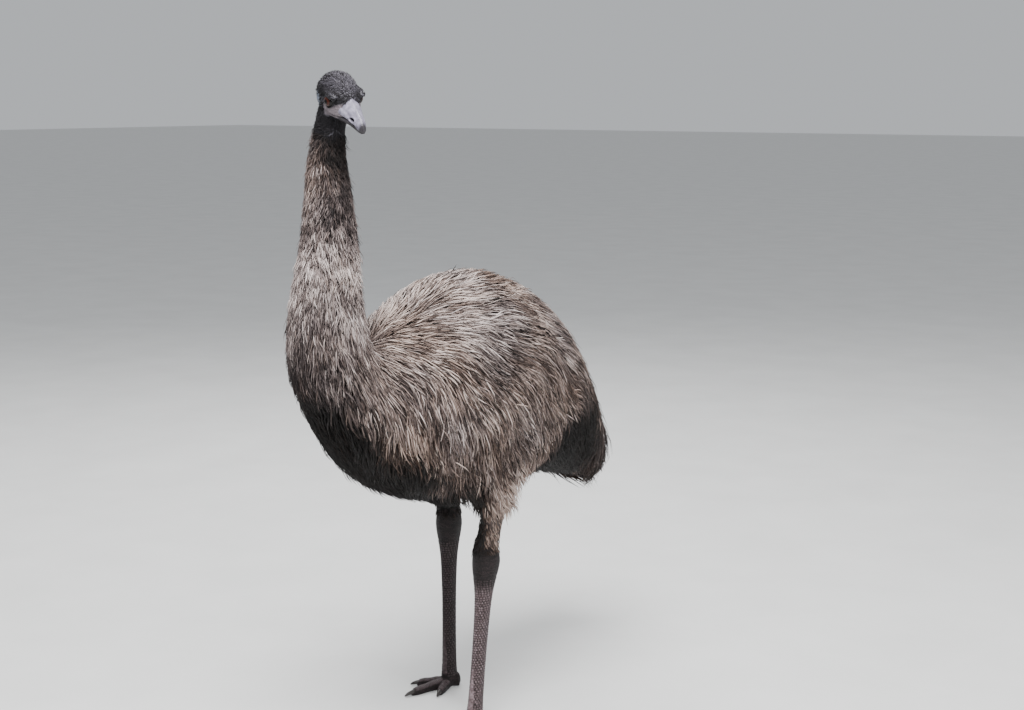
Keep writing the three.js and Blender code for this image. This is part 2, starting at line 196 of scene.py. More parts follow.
def placed(name, data):
    """An object in the scene for a mesh, a light or a camera."""
    thing = bpy.data.objects.new(name, data)
    bpy.context.scene.collection.objects.link(thing)
    return thing


def shade_smooth(mesh):
    mesh.polygons.foreach_set("use_smooth", np.ones(len(mesh.polygons), bool))


def new_object(name, points, faces):
    mesh = bpy.data.meshes.new(name)
    mesh.from_pydata([tuple(p) for p in points], [], [tuple(f) for f in faces])
    mesh.update()
    shade_smooth(mesh)
    return placed(name, mesh)


def mesh_from(shape, name):
    """Ends the editing of a shape and gives its mesh."""
    mesh = bpy.data.meshes.new(name)
    shape.to_mesh(mesh)
    shape.free()
    return mesh


def read(items, field):
    """One field of three decimal numbers for each item of a mesh."""
    flat = np.zeros(len(items) * 3, np.float32)
    items.foreach_get(field, flat)
    return flat.reshape(-1, 3).astype(float)


def read_indices(items, width):
    """The vertex numbers of each item of a mesh."""
    flat = np.zeros(len(items) * width, np.int32)
    items.foreach_get("vertices", flat)
    return flat.reshape(-1, width)


def points_of(thing):
    return read(thing.data.vertices, "co")


def normals_of(thing):
    return read(thing.data.vertex_normals, "vector")


def set_points(thing, points):
    thing.data.vertices.foreach_set("co", points.astype(np.float32).ravel())
    thing.data.update()


def relax(thing, times, strength=0.5):
    """Moves each point towards the middle of its neighbours."""
    points = points_of(thing)
    first, second = read_indices(thing.data.edges, 2).T
    ends = np.concatenate([first, second])
    others = np.concatenate([second, first])
    count = np.bincount(ends, minlength=len(points))[:, None]
    for _ in range(times):
        middle = np.stack(
            [np.bincount(ends, points[others, axis], len(points)) for axis in range(3)], 1
        ) / np.maximum(count, 1)
        points += (middle - points) * strength
    set_points(thing, points)


def applied(thing):
    """Puts the result of the object's modifiers in its mesh."""
    graph = bpy.context.evaluated_depsgraph_get()
    mesh = bpy.data.meshes.new_from_object(thing.evaluated_get(graph))
    old = thing.data
    thing.modifiers.clear()
    thing.data = mesh
    bpy.data.meshes.remove(old)
    shade_smooth(mesh)
    return thing


def remeshed(thing, voxel):
    step = thing.modifiers.new("voxels", "REMESH")
    step.mode = "VOXEL"
    step.voxel_size = voxel
    return applied(thing)


def united(first, second):
    step = first.modifiers.new("union", "BOOLEAN")
    step.operation = "UNION"
    step.solver = "MANIFOLD"
    step.object = second
    applied(first)
    bpy.data.objects.remove(second)
    return first


def attribute(thing, name, values):
    layer = thing.data.attributes.new(name, "FLOAT", "POINT")
    layer.data.foreach_set("value", np.asarray(values, np.float32))


def ring_loft(centres, rights, ups, beside, above, below, powers=(2.0, 2.0), sides=32, floor=None):
    """Points and faces of a closed loft. Sizes are one number for each ring, and directions are
    one for the loft or one for each ring."""
    rights, ups = (np.broadcast_to(way, centres.shape) for way in (rights, ups))
    angle = np.linspace(0, 2 * math.pi, sides, endpoint=False)
    high = np.sin(angle) >= 0
    power = np.where(high, powers[0], powers[1])
    across = np.sign(np.cos(angle)) * np.abs(np.cos(angle)) ** (2 / power)
    along = np.sign(np.sin(angle)) * np.abs(np.sin(angle)) ** (2 / power)
    tall = np.where(high[None, :], above[:, None], below[:, None]) * along[None, :]
    points = (
        centres[:, None, :]
        + rights[:, None, :] * (beside[:, None] * across[None, :])[..., None]
        + ups[:, None, :] * tall[..., None]
    )
    if floor is not None:
        points[..., 2] = np.maximum(points[..., 2], floor)
    rings = len(centres)
    faces = []
    for r in range(rings - 1):
        for i in range(sides):
            a = r * sides + i
            b = r * sides + (i + 1) % sides
            faces.append((a, b, b + sides, a + sides))
    flat = points.reshape(-1, 3)
    first, last = len(flat), len(flat) + 1
    flat = np.vstack([flat, points[0].mean(0), points[-1].mean(0)])
    end = (rings - 1) * sides
    for i in range(sides):
        nxt = (i + 1) % sides
        faces.append((first, nxt, i))
        faces.append((last, end + i, end + nxt))
    return flat, faces


def outward(thing):
    """Turns every face of a closed mesh outwards."""
    shape = bmesh.new()
    shape.from_mesh(thing.data)
    bmesh.ops.recalc_face_normals(shape, faces=shape.faces)
    shape.to_mesh(thing.data)
    shape.free()
    return thing


def joined(name, parts):
    """One mesh object from several lists of points and faces."""
    points, faces, start = [], [], 0
    for part_points, part_faces in parts:
        points.append(np.asarray(part_points))
        faces += [tuple(start + i for i in face) for face in part_faces]
        start += len(part_points)
    return outward(new_object(name, np.vstack(points), faces))


# the head's own frame: forward along the bill, to its left and up, in millimetres

EYE_LEFT = box_middle("eye_left")
EYE_RIGHT = box_middle("eye_right")
SHIFT = (EYE_LEFT + EYE_RIGHT) / 2 - EYE_CENTRE * MM
HEAD_TURN = np.array(
    Matrix.Rotation(math.radians(HEAD_YAW), 3, "Z")
    @ Matrix.Rotation(math.radians(HEAD_PITCH), 3, "X")
    @ Matrix.Rotation(math.radians(-HEAD_ROLL), 3, "Y")
)
HEAD_AXES = np.stack([HEAD_TURN @ (0, -1, 0), HEAD_TURN @ (1, 0, 0), HEAD_TURN @ (0, 0, 1)])


def row(points):
    """Millimetres in the bird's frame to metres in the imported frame."""
    return np.asarray(points, float) * MM + SHIFT


def head_point(local):
    return row(EYE_CENTRE) + (np.asarray(local, float) @ HEAD_AXES) * MM


def head_local(points):
    return ((np.asarray(points) - row(EYE_CENTRE)) @ HEAD_AXES.T) / MM


def head_loft(rows, widest, powers, grow=0.0, rings=64, sides=72):
    table = np.array(rows, float)
    share = 0.5 - 0.5 * np.cos(np.linspace(0, math.pi, rings))
    at = mix(table[0, 0], table[-1, 0], share)
    beside, top, bottom = (profile(table[:, [0, c]])(at) for c in (1, 2, 3))
    middle = mix(bottom, top, widest)
    centres = head_point(np.stack([at, at * 0, middle], 1))
    return ring_loft(
        centres, HEAD_AXES[1], HEAD_AXES[2], (beside + grow) * MM, (top - middle + grow) * MM,
        (middle - bottom + grow) * MM, powers, sides,
    )


def neck_centre(z):
    """Middle of the neck at heights given in metres."""
    line = row(NECK_LINE)
    return np.stack([np.interp(z, line[:, 2], line[:, axis]) for axis in range(3)], 1)


def neck_up(z):
    """Direction of the neck towards the head at heights given in metres."""
    return unit(neck_centre(z + 0.02) - neck_centre(z - 0.02))


KEEL = profile([
    (-0.586, 0.925), (-0.51, 0.818), (-0.416, 0.718), (-0.34, 0.658), (-0.256, 0.618),
    (-0.09, 0.598), (0.21, 0.599), (0.47, 0.545), (0.62, 0.56),
])                                 # lowest line of the coat along the body, in metres


# regions of the body, each 0 to 1

def on_neck(points):
    """1 above the base of the neck, fading over the shoulders and the breast."""
    rise = (points - row(NECK_BASE)) @ NECK_BASE_FACING
    return smooth(-0.07, 0.05, rise) * smooth(-0.20, -0.34, points[:, 1])


def on_head(points):
    distance = np.linalg.norm(points - head_point((-8, 0, -4)), axis=1)
    return smooth(0.115, 0.085, distance) * smooth(1.47, 1.53, points[:, 2])


def hock_height(points):
    """Height of the hock of the leg on each point's side, in metres."""
    return np.where(points[:, 0] > 0, HOCK_Z["left"], HOCK_Z["right"]) * MM


def on_thigh(points):
    """1 on the drumsticks, below the coat of the trunk."""
    result = np.zeros(len(points))
    for side in ("left", "right"):
        x, y = row([*HOCK[side], 0.0])[:2]
        near = np.hypot(points[:, 0] - x, points[:, 1] - y)
        tall = HOCK_Z[side] * MM
        inside = smooth(0.16, 0.12, near) * smooth(tall + 0.31, tall + 0.24, points[:, 2])
        result = np.maximum(result, inside)
    return result


def on_tail(points):
    """1 on the long coat of the rear end."""
    return smooth(0.36, 0.52, points[:, 1])


def on_rump(points):
    """1 on the lower rear, where the coat is darker."""
    return smooth(0.10, 0.42, points[:, 1] + 0.5 * (0.85 - points[:, 2]))


# skin

def inflated(nodes, grow):
    """Copies of frame nodes as one mesh, each a little larger so that the cuts close."""
    whole = bmesh.new()
    for name in nodes:
        shape = bmesh.new()
        shape.from_mesh(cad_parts[name].data)
        bmesh.ops.remove_doubles(shape, verts=shape.verts, dist=1e-5)
        shape.normal_update()
        moves = [(vert, vert.normal.copy()) for vert in shape.verts]
        for vert, normal in moves:
            vert.co += normal * grow
        mesh = mesh_from(shape, "copy")
        whole.from_mesh(mesh)
        bpy.data.meshes.remove(mesh)
    return placed("flesh", mesh_from(whole, "flesh"))


def coat_depth(points, normals):
    """How far the skin lies inside the outline, in metres."""
    neck = on_neck(points)
    thigh = on_thigh(points)
    under = np.clip(-normals[:, 2], 0, 1) * smooth(0.45, 0.60, points[:, 2])
    depth = 0.022 + 0.016 * under
    thin_end = np.interp(points[:, 1], [0.46, 0.56, 0.62], [1.0, 0.5, 0.15])
    depth = depth * thin_end
    neck_depth = np.interp(points[:, 2], [1.0, 1.2, 1.4, 1.5], [0.017, 0.012, 0.008, 0.007])
    depth = mix(depth, neck_depth, neck)
    thigh_depth = np.interp(points[:, 2], [0.45, 0.52, 0.60], [0.0015, 0.004, 0.014])
    depth = mix(depth, thigh_depth, thigh)
    return mix(depth, 0.010, on_head(points))


def body_shell():
    shell = remeshed(inflated(BODY_NODES, 0.0015), BODY_VOXEL)
    relax(shell, 14)
    points = points_of(shell)
    normals = normals_of(shell)
    points -= normals * (coat_depth(points, normals) + 0.001)[:, None]
    # the flesh of the tail is short, and the coat hangs on past it
    past = np.maximum(points[:, 1] - TAIL_START, 0)
    points[:, 1] -= past * 0.05
    narrow = 1 - 0.12 * smooth(0.02, 0.22, past)
    axis_z = 0.80 - 0.60 * past
    points[:, 0] *= narrow
    points[:, 2] = axis_z + (points[:, 2] - axis_z) * narrow
    set_points(shell, points)
    relax(shell, 4)
    return shell


def pressed(distance, radius, width):
    """1 inside a radius, falling to 0 over a width."""
    return smooth(radius + width / 2, radius - width / 2, distance)


def to_lids(local):
    """Distance from the gap between the lids, seen from the side, in millimetres."""
    return np.hypot(local[:, 0] - EYE_FORWARD, (local[:, 2] - EYE_UP) * 1.08)


def gape_up(forward):
    """Height of the mouth line on the side of the face."""
    share = np.clip((forward - GAPE_FROM) / 50, 0, 1)
    return -25.0 - 3.0 * np.sin(share * math.pi)


def sculpt_head(shell):
    """Lids, ears, brow, lores and the fold of the gape, moved along the normals."""
    points = points_of(shell)
    normals = normals_of(shell)
    local = head_local(points)
    forward, up = local[:, 0], local[:, 2]
    flank = np.abs(local[:, 1])
    on_side = smooth(14, 26, flank)
    to_eye = to_lids(local)
    move = 0.9 * bump(to_eye, LID_RING, 1.6) * on_side
    move += 1.0 * bump(to_eye, LID_RING, 2.0) * smooth(-2, 8, up) * on_side
    move -= 1.2 * bump(to_eye, 18.5, 2.4) * on_side
    move -= 11.0 * pressed(to_eye, EYE_OPENING, 2.0) * on_side
    move -= 2.6 * bump(forward, 19, 6) * bump(up, -1, 9) * on_side
    to_ear = np.hypot((forward + 50) * 0.8, up + 10)
    move += 1.2 * bump(to_ear, 6.5, 1.6) * on_side
    move -= 5.0 * pressed(to_ear, 3.6, 2.6) * on_side
    lores = bump(forward, 24, 11) * bump(up, -4, 10) * on_side
    move -= 2.2 * lores
    to_gape = up - gape_up(forward)
    gape_zone = smooth(-20, -8, forward) * smooth(62, 46, forward) * on_side
    move -= 2.6 * bump(to_gape, 0, 1.5) * gape_zone
    move += 1.5 * bump(to_gape, 3.6, 2.0) * gape_zone
    move += 1.2 * bump(to_gape, -3.8, 2.2) * gape_zone
    crown_dip = bump(local[:, 1], 0, 9) * smooth(24, 40, up) * bump(forward, -8, 26)
    move -= 1.5 * crown_dip
    throat = smooth(-34, -44, up) * bump(forward, 10, 26)
    move += 1.5 * throat
    pebbles = Waves(6 * MM, 41)
    move += 0.28 * pebbles(points) * smooth(30, 20, np.abs(up)) * on_side
    set_points(shell, points + normals * (move * MM)[:, None])


def ellipsoid(centre, axes, sizes, rings=24, sides=32):
    """Closed ellipsoid with its long axis first."""
    share = np.linspace(0.02, 0.98, rings) * math.pi
    radius = np.sin(share)
    centres = centre - np.cos(share)[:, None] * axes[0] * sizes[0]
    return ring_loft(
        centres, axes[1], axes[2], radius * sizes[1], radius * sizes[2], radius * sizes[2],
        sides=sides,
    )


def head_shell():
    parts = [head_loft(SKULL, 0.46, (2.1, 2.2), grow=-1.6)]
    for sign in (1, -1):
        centre = head_point((4, sign * 33, 17))
        parts.append(ellipsoid(centre, HEAD_AXES, (0.027, 0.012, 0.008)))
    stub = np.linspace(1.485, 1.575, 12)
    centres = neck_centre(stub)
    across = np.full(12, 0.0335)
    parts.append(ring_loft(centres, RIGHT, BACK, across, across, across))
    shell = remeshed(joined("head_shell", parts), HEAD_VOXEL)
    relax(shell, 10)
    sculpt_head(shell)
    relax(shell, 1, 0.4)
    return shell


def shank_axis(side, share):
    """Middle of the leg at shares of the hock's height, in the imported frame."""
    foot_x, foot_y, _ = FOOT[side]
    hock_x, hock_y = HOCK[side]
    low = np.minimum(share, 1)
    z = mix(12.0, HOCK_Z[side], share)
    return row(np.stack([mix(foot_x, hock_x, low), mix(foot_y, hock_y, low), z], 1))


def shank_half(share):
    table = np.array(SHANK_SHAPE, float)
    return profile(table[:, [0, 1]])(share) * MM, profile(table[:, [0, 2]])(share) * MM


def shank_loft(side):
    share = np.linspace(0, 1.15, 130)
    across, deep = shank_half(share)
    wrinkle = 0.0010 * np.sin(share * 330) * bump(share, 0.96, 0.08)
    across = across + wrinkle
    deep = deep + wrinkle
    return ring_loft(shank_axis(side, share), RIGHT, BACK, across, deep, deep, sides=40)


def toe_frame(side, toe):
    foot_x, foot_y, toe_out = FOOT[side]
    out = math.copysign(1, foot_x)
    heading = math.radians(abs(toe_out) + toe["angle"]) * out
    forward = np.array([math.sin(heading), -math.cos(heading), 0.0])
    right = np.array([math.cos(heading), math.sin(heading), 0.0])
    return np.array([foot_x, foot_y, 0.0]), forward, right


def toe_sizes(toe, share):
    """Half width and height of a toe in millimetres at shares of its length."""
    swell = sum(bump(share, at, 0.07) for at in TOE_PADS)
    blunt = np.sqrt(np.maximum(1 - np.maximum((share - 0.9) / 0.11, 0) ** 2, 0.05))
    across = (mix(toe["root"], toe["tip"], share) + 1.6 * swell) * blunt
    height = mix(34.0, 17.0, share ** 0.7) * blunt + 1.2 * swell
    return across, height


def toe_loft(side, toe):
    origin, forward, right = toe_frame(side, toe)
    share = np.linspace(0, 1, 60)
    across, height = toe_sizes(toe, share)
    centres = origin + forward * mix(-HEEL, toe["reach"], share)[:, None]
    below = height * TOE_WIDEST
    centres[:, 2] = below
    return ring_loft(
        row(centres), right, UP, across * MM, (height - below) * MM, (below + 4) * MM,
        sides=28, floor=0.0,
    )


def shin_loft(side):
    """The shin above the hock, up into the tuft of the thigh, leaning outwards."""
    tuft = TUFT_RISE[side]
    table = np.array([
        (-12, 0, 27, 33), (24, 1, 27.5, 32), (tuft * 0.6, 9, 24.5, 29), (tuft, 20, 26, 34),
        (tuft + 24, 26, 34, 44),
    ], float)
    rise = np.linspace(-12, tuft + 24, 40)
    hock_x, hock_y = HOCK[side]
    out = math.copysign(1, hock_x)
    centres = np.stack([
        hock_x + out * profile(table[:, [0, 1]])(rise), np.full(40, hock_y), HOCK_Z[side] + rise,
    ], 1)
    across, deep = (profile(table[:, [0, i]])(rise) * MM for i in (2, 3))
    return ring_loft(row(centres), RIGHT, BACK, across, deep, deep, sides=40)


def leg_shell():
    parts = []
    for side in ("left", "right"):
        parts += [shank_loft(side), shin_loft(side)]
        parts += [toe_loft(side, toe) for toe in TOES.values()]
    shell = remeshed(joined("leg_shell", parts), LEG_VOXEL)
    relax(shell, 3)
    points = points_of(shell)
    points[:, 2] = np.maximum(points[:, 2], 0.0)
    set_points(shell, points)
    return shell


def make_skin():
    skin = united(united(body_shell(), head_shell()), leg_shell())
    skin.name = "skin"
    skin.data.name = "skin"
    return skin


# coat

class Surface:
    """The skin as nearest-point lookups, with the lie of the coat on each face."""

    def __init__(self, skin):
        mesh = skin.data
        mesh.calc_loop_triangles()
        self.corners = read_indices(mesh.loop_triangles, 3)
        self.points = points_of(skin)
        self.tree = BVHTree.FromPolygons(
            [tuple(p) for p in self.points], [tuple(c) for c in self.corners]
        )
        trio = self.points[self.corners]
        self.middles = trio.mean(1)
        cross = np.cross(trio[:, 1] - trio[:, 0], trio[:, 2] - trio[:, 0])
        self.areas = np.linalg.norm(cross, axis=1) / 2
        vertex_normals = normals_of(skin)
        self.normals = unit(vertex_normals[self.corners].mean(1))
        self.flow = lie_of_coat(self.middles, self.normals)

    def nearest(self, points):
        near = np.zeros_like(points)
        faces = np.zeros(len(points), np.int64)
        find = self.tree.find_nearest
        for i, point in enumerate(points.tolist()):
            place, _, face, _ = find(point)
            near[i] = place
            faces[i] = face
        return near, faces

    def scatter(self, weights, count, rng):
        """Random places on the skin, with a weight for each face."""
        chance = self.areas * weights
        faces = rng.choice(len(chance), count, p=chance / chance.sum())
        first, second = rng.random(count), rng.random(count)
        flip = first + second > 1
        first[flip], second[flip] = 1 - first[flip], 1 - second[flip]
        trio = self.points[self.corners[faces]]
        places = (
            trio[:, 0]
            + (trio[:, 1] - trio[:, 0]) * first[:, None]
            + (trio[:, 2] - trio[:, 0]) * second[:, None]
        )
        return places, faces


def lie_of_coat(points, normals):
    """Direction of the coat: down the neck, back along the spine and down the flanks."""
    neck = on_neck(points)[:, None]
    thigh = on_thigh(points)[:, None]
    head = on_head(points)[:, None]
    # the coat fans out from the base of the neck and falls more steeply with distance
    fan = (points - row(FAN_CENTRE)) * [0, 1, 1]
    fan[:, 2] = np.minimum(fan[:, 2], 0.02)
    fan = unit(fan)
    fall = mix(0.30, 0.85, smooth(1.12, 0.80, points[:, 2]))
    fall = fall + 1.3 * smooth(0.20, 0.50, points[:, 1])
    trunk = unit(fan + DOWN * fall[:, None])
    sway = Waves(0.16, 5)(points)[:, None]
    trunk = trunk + np.cross(normals, trunk) * 0.22 * sway
    down_neck = -neck_up(points[:, 2])
    down_neck = down_neck + np.cross(normals, down_neck) * 0.10 * sway
    flow = mix(trunk, down_neck, neck)
    flow = mix(flow, DOWN + BACK * 0.45, thigh)
    flow = mix(flow, -HEAD_AXES[0] - HEAD_AXES[2] * 0.55, head)
    flow = flow - normals * np.sum(flow * normals, 1, keepdims=True)
    return unit(flow)


STEPS = 4                        # lengths in a lock
WIDTHS = (0.55, 1.0, 0.92, 0.62)    # of a lock at the start of each length; its tip is a point
CLEAR_OF_SKIN = 0.004            # metres; past this a lock counts as hanging free of the skin
PATCH = 0.003                    # size of one lock on its map


class Locks:
    """Many tapered locks that run over the skin, kept as arrays."""

    def __init__(self, surface, places, faces, rng):
        self.surface = surface
        self.places = places
        self.normals = surface.normals[faces]
        self.faces = faces
        self.rng = rng
        self.count = len(places)
        self.unwrap = None
        self.owner = None

    def grow(self, length, width, height, turn, wave, droop=0.0, free=0.0, lift=0.0):
        """Each argument is one number or one for each lock, in metres and radians."""
        ones = np.ones(self.count)
        length, width, height, droop, free, lift = (
            ones * value for value in (length, width, height, droop, free, lift)
        )
        turn = self.rng.normal(size=self.count) * turn
        faces = self.faces
        normals = self.normals
        path = [self.places - normals * 0.001]
        for step in range(1, STEPS + 1):
            share = step / STEPS
            flow = self.surface.flow[faces]
            side = np.cross(normals, flow)
            heading = flow * np.cos(turn)[:, None] + side * np.sin(turn)[:, None]
            heading = unit(heading + DOWN * droop[:, None] * share + normals * 0.02)
            point = path[-1] + heading * (length / STEPS)[:, None]
            near, faces = self.surface.nearest(point)
            face_normals = self.surface.normals[faces]
            apart = point - near
            gap = np.sum(apart * face_normals, 1)
            away = np.where((gap > CLEAR_OF_SKIN)[:, None], unit(apart), face_normals)
            distance = np.where(gap > CLEAR_OF_SKIN, np.linalg.norm(apart, axis=1), gap)
            want = height * min(1.0, 0.25 + share * 1.1) + lift * share ** 2
            held = np.where(distance < want, want, want + (distance - want) * free)
            point = near + away * held[:, None]
            normals = unit(face_normals * 0.6 + away * 0.4)
            path.append(point)
        self.path = np.stack(path, 1)
        self.width = width / math.sqrt(DENSITY)
        self.sway(wave)

    def sway(self, size):
        along = unit(self.path[:, -1] - self.path[:, 0])
        side = np.cross(along, self.normals)
        phase = self.rng.uniform(0, 6.28, self.count)
        for step in range(1, STEPS + 1):
            swing = np.sin(phase + step * 1.5) - np.sin(phase)
            self.path[:, step] += side * (swing * size * step / STEPS)[:, None]

    def clump(self, every, strength):
        """Draws the tips of neighbouring locks together."""
        guides = self.rng.choice(self.count, max(self.count // every, 1), replace=False)
        tree = KDTree(len(guides))
        for i, guide in enumerate(guides):
            tree.insert(self.places[guide], i)
        tree.balance()
        owner = np.array([guides[tree.find(p)[1]] for p in self.places.tolist()])
        self.owner = owner
        for step in range(1, STEPS + 1):
            pull = strength * (step / STEPS) ** 1.6
            offsets = self.places - self.places[owner]
            target = self.path[owner, step] + offsets * 0.25
            self.path[:, step] += (target - self.path[:, step]) * pull


def patch_pattern():
    """Faces of one lock, and the place of each face corner on its patch of the map."""
    faces, spots = [], []
    for step in range(STEPS - 1):
        for i in range(3):
            nxt = (i + 1) % 3
            faces.append((step * 3 + i, step * 3 + nxt, step * 3 + 3 + nxt, step * 3 + 3 + i))
            low, high = step / STEPS, (step + 1) / STEPS
            spots += [(i / 3, low), ((i + 1) / 3, low), ((i + 1) / 3, high), (i / 3, high)]
    top = (STEPS - 1) * 3
    for i in range(3):
        faces.append((top + i, top + (i + 1) % 3, STEPS * 3))
        spots += [(i / 3, 0.75), ((i + 1) / 3, 0.75), ((i + 0.5) / 3, 1.0)]
    faces.append((2, 1, 0))
    spots += [(0.9, 0.0), (0.5, 0.1), (0.1, 0.0)]
    return faces, np.array(spots)


def lock_mesh(name, locks, pick, material):
    """One joined mesh of the picked locks, with its attributes and its OFBake map."""
    path = locks.path[pick]
    width = locks.width[pick]
    out = locks.normals[pick]
    count = len(path)
    points = np.zeros((count, STEPS * 3 + 1, 3))
    for step in range(STEPS):
        ahead = unit(path[:, min(step + 1, STEPS)] - path[:, max(step - 1, 0)])
        side = unit(np.cross(ahead, out))
        up = np.cross(side, ahead)
        half = (width * WIDTHS[step] / 2)[:, None]
        points[:, step * 3] = path[:, step] - side * half
        points[:, step * 3 + 1] = path[:, step] + side * half
        points[:, step * 3 + 2] = path[:, step] + up * half * 0.85
    points[:, -1] = path[:, STEPS]
    faces, spots = patch_pattern()
    sizes = np.array([len(face) for face in faces])
    corners = np.concatenate([np.array(face) for face in faces])
    per_lock = STEPS * 3 + 1
    loops = (np.arange(count)[:, None] * per_lock + corners[None, :]).ravel()
    totals = np.tile(sizes, count)
    starts = np.concatenate([[0], np.cumsum(totals)[:-1]])
    mesh = bpy.data.meshes.new(name)
    mesh.vertices.add(count * per_lock)
    mesh.vertices.foreach_set("co", points.astype(np.float32).ravel())
    mesh.loops.add(len(loops))
    mesh.loops.foreach_set("vertex_index", loops.astype(np.int32))
    mesh.polygons.add(len(totals))
    mesh.polygons.foreach_set("loop_start", starts.astype(np.int32))
    mesh.polygons.foreach_set("use_smooth", np.ones(len(totals), bool))
    mesh.update(calc_edges=True)
    mesh.validate()
    roots = spread(locks.unwrap[pick])
    uv = roots[:, None, :] + (spots[None, :, :] - 0.5) * PATCH
    layer = mesh.uv_layers.new(name="OFBake")
    layer.uv.foreach_set("vector", uv.astype(np.float32).ravel())
    piece = placed(name, mesh)
    along = np.append(np.repeat(np.arange(STEPS) / STEPS, 3), 1.0)
    attribute(piece, "along", np.tile(along, count))
    attribute(piece, "tone", np.repeat(locks.tone[pick], per_lock))
    attribute(piece, "warm", np.repeat(locks.warm[pick], per_lock))
    mesh.materials.append(material)
    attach(piece, "root")
    return piece


def spread(spots):
    """Fits places on a map to the square, with a margin for the patches."""
    low, high = spots.min(0), spots.max(0)
    return 0.01 + 0.98 * (spots - low) / np.maximum(high - low, 1e-6)


def unwrap_trunk(places):
    angle = np.arctan2(places[:, 0], places[:, 2] - 0.82)
    return np.stack([angle, places[:, 1]], 1)


def unwrap_neck(places):
    middle = neck_centre(places[:, 2])
    angle = np.arctan2(places[:, 0] - middle[:, 0], places[:, 1] - middle[:, 1])
    return np.stack([angle, places[:, 2]], 1)


def unwrap_head(places):
    local = head_local(places)
    angle = np.arctan2(local[:, 1], local[:, 2])
    return np.stack([angle, local[:, 0]], 1)


def unwrap_legs(places):
    left = places[:, 0] > 0
    middle = np.where(left[:, None], row([*HOCK["left"], 0]), row([*HOCK["right"], 0]))
    angle = np.arctan2(places[:, 0] - middle[:, 0], places[:, 1] - middle[:, 1])
    return np.stack([angle + np.where(left, 7.0, 0.0), places[:, 2]], 1)


# directions that the markings of the coat face, and the way the painted shade of the lower front
# faces
THROAT_SIDE = unit(np.array([-0.8, -0.6, 0.0]))
NAPE_SIDE = unit(np.array([0.9, -0.2, 0.0]))
THIGH_SIDE = unit(np.array([0.8, 0.6, 0.0]))
UNDER_SIDE = unit(np.array([-0.3, -0.6, -0.75]))
LIGHT_WAVES = Waves(0.11, 11)
FINE_WAVES = Waves(0.035, 12)
NECK_TONES = (
    (0.93, 0.42), (1.02, 0.52), (1.12, 0.62), (1.23, 0.62), (1.29, 0.50), (1.36, 0.38),
    (1.46, 0.34),
)                                # height in metres, tone
THIGH_TONES = ((0.47, 0.50), (0.53, 0.58), (0.57, 0.92), (0.70, 0.80))


def between(pairs, at):
    """Straight lines through pairs of a place and a value, read at places."""
    places, values = zip(*pairs)
    return np.interp(at, places, values)


def trunk_tone(places, normals):
    """Dark belly and lower rear, partly their own colour and partly painted shade; painted light on
    top; a painted highlight on the saddle behind the neck; a pale near hip.
    """
    up = normals[:, 2]
    x, y, z = places.T
    # lighter where the coat faces up: painted light from above
    tone = 0.50 + 0.12 * smooth(0.1, 0.9, up) - 0.27 * on_rump(places)
    over_keel = z - KEEL(y) + 0.018 * LIGHT_WAVES(places)
    # belly: the dark underparts, deepened by painted shade where the coat faces down
    belly = smooth(0.12, 0.01, over_keel - 0.04 * bump(y, 0.08, 0.14)) * smooth(0.6, 0.0, up)
    # hem: painted shade low on the rear flank, between the thigh and the tail
    hem = smooth(0.88, 0.75, z) * smooth(0.02, 0.16, y)
    tail_end = smooth(0.29, 0.40, y)
    tone = tone - 0.48 * np.maximum(belly, hem) * (1 - 0.85 * tail_end) + 0.08 * tail_end
    # saddle: a painted highlight, light shining on the back behind the neck
    saddle = bump(y, -0.28, 0.13) * smooth(0.98, 1.06, z) * (1 - on_neck(places))
    hip = bump(z, 0.69, 0.05) * bump(y, -0.03, 0.07) * smooth(0.08, 0.14, x)
    return tone + 0.20 * saddle + 0.30 * hip


def neck_tone(places, normals):
    """Pale at the base and darker towards the head, with a paler throat and a patch behind."""
    z = places[:, 2]
    throat = smooth(-0.3, 0.8, normals @ THROAT_SIDE) * smooth(1.16, 1.28, z)
    patch = bump(z, 1.235, 0.035) * smooth(-0.2, 0.5, normals @ NAPE_SIDE)
    return between(NECK_TONES, z) + 0.20 * throat - 0.08 * smooth(1.26, 1.32, z) + 0.12 * patch


def thigh_tone(places):
    """Pale on the outer side of the near thigh; the far one is dark as painted shade."""
    from_shin = places - row([HOCK["left"][0] + 20, HOCK["left"][1], 0])
    outer = smooth(-0.035, 0.0, from_shin @ THIGH_SIDE)
    near = between(THIGH_TONES, places[:, 2]) * mix(0.12, 1.0, outer)
    # the far thigh: painted shade, nearly black
    return np.where(places[:, 0] > 0, near, 0.12)


def coat_tone(places, normals):
    """Lightness of the coat, 0 near black to 1 pale, the same for skin and locks."""
    neck, head = on_neck(places), on_head(places)
    y, z = places[:, 1], places[:, 2]
    # breast: painted shade where the lower front of the body faces down and away from the light
    breast = smooth(0.10, 0.90, normals @ UNDER_SIDE) * smooth(1.16, 0.84, z)
    breast = breast * smooth(0.46, 0.28, y)
    tone = mix(trunk_tone(places, normals), neck_tone(places, normals), neck) - 0.42 * breast
    tone = mix(tone, thigh_tone(places), on_thigh(places))
    tone = mix(tone, 0.07, head)
    blotch = (0.075 + 0.03 * neck) * LIGHT_WAVES(places) + 0.055 * FINE_WAVES(places)
    return np.maximum(tone + blotch * (1 - 0.7 * head) * smooth(-0.05, 0.3, tone), 0.02)


def coat_warmth(places):
    """How brown the coat is, from cool grey 0 to warm brown 1."""
    warm = 0.45 + 0.25 * Waves(0.2, 13)(places)
    warm = warm + 0.5 * on_thigh(places) - 0.3 * on_neck(places)
    return np.clip(warm, 0, 1)


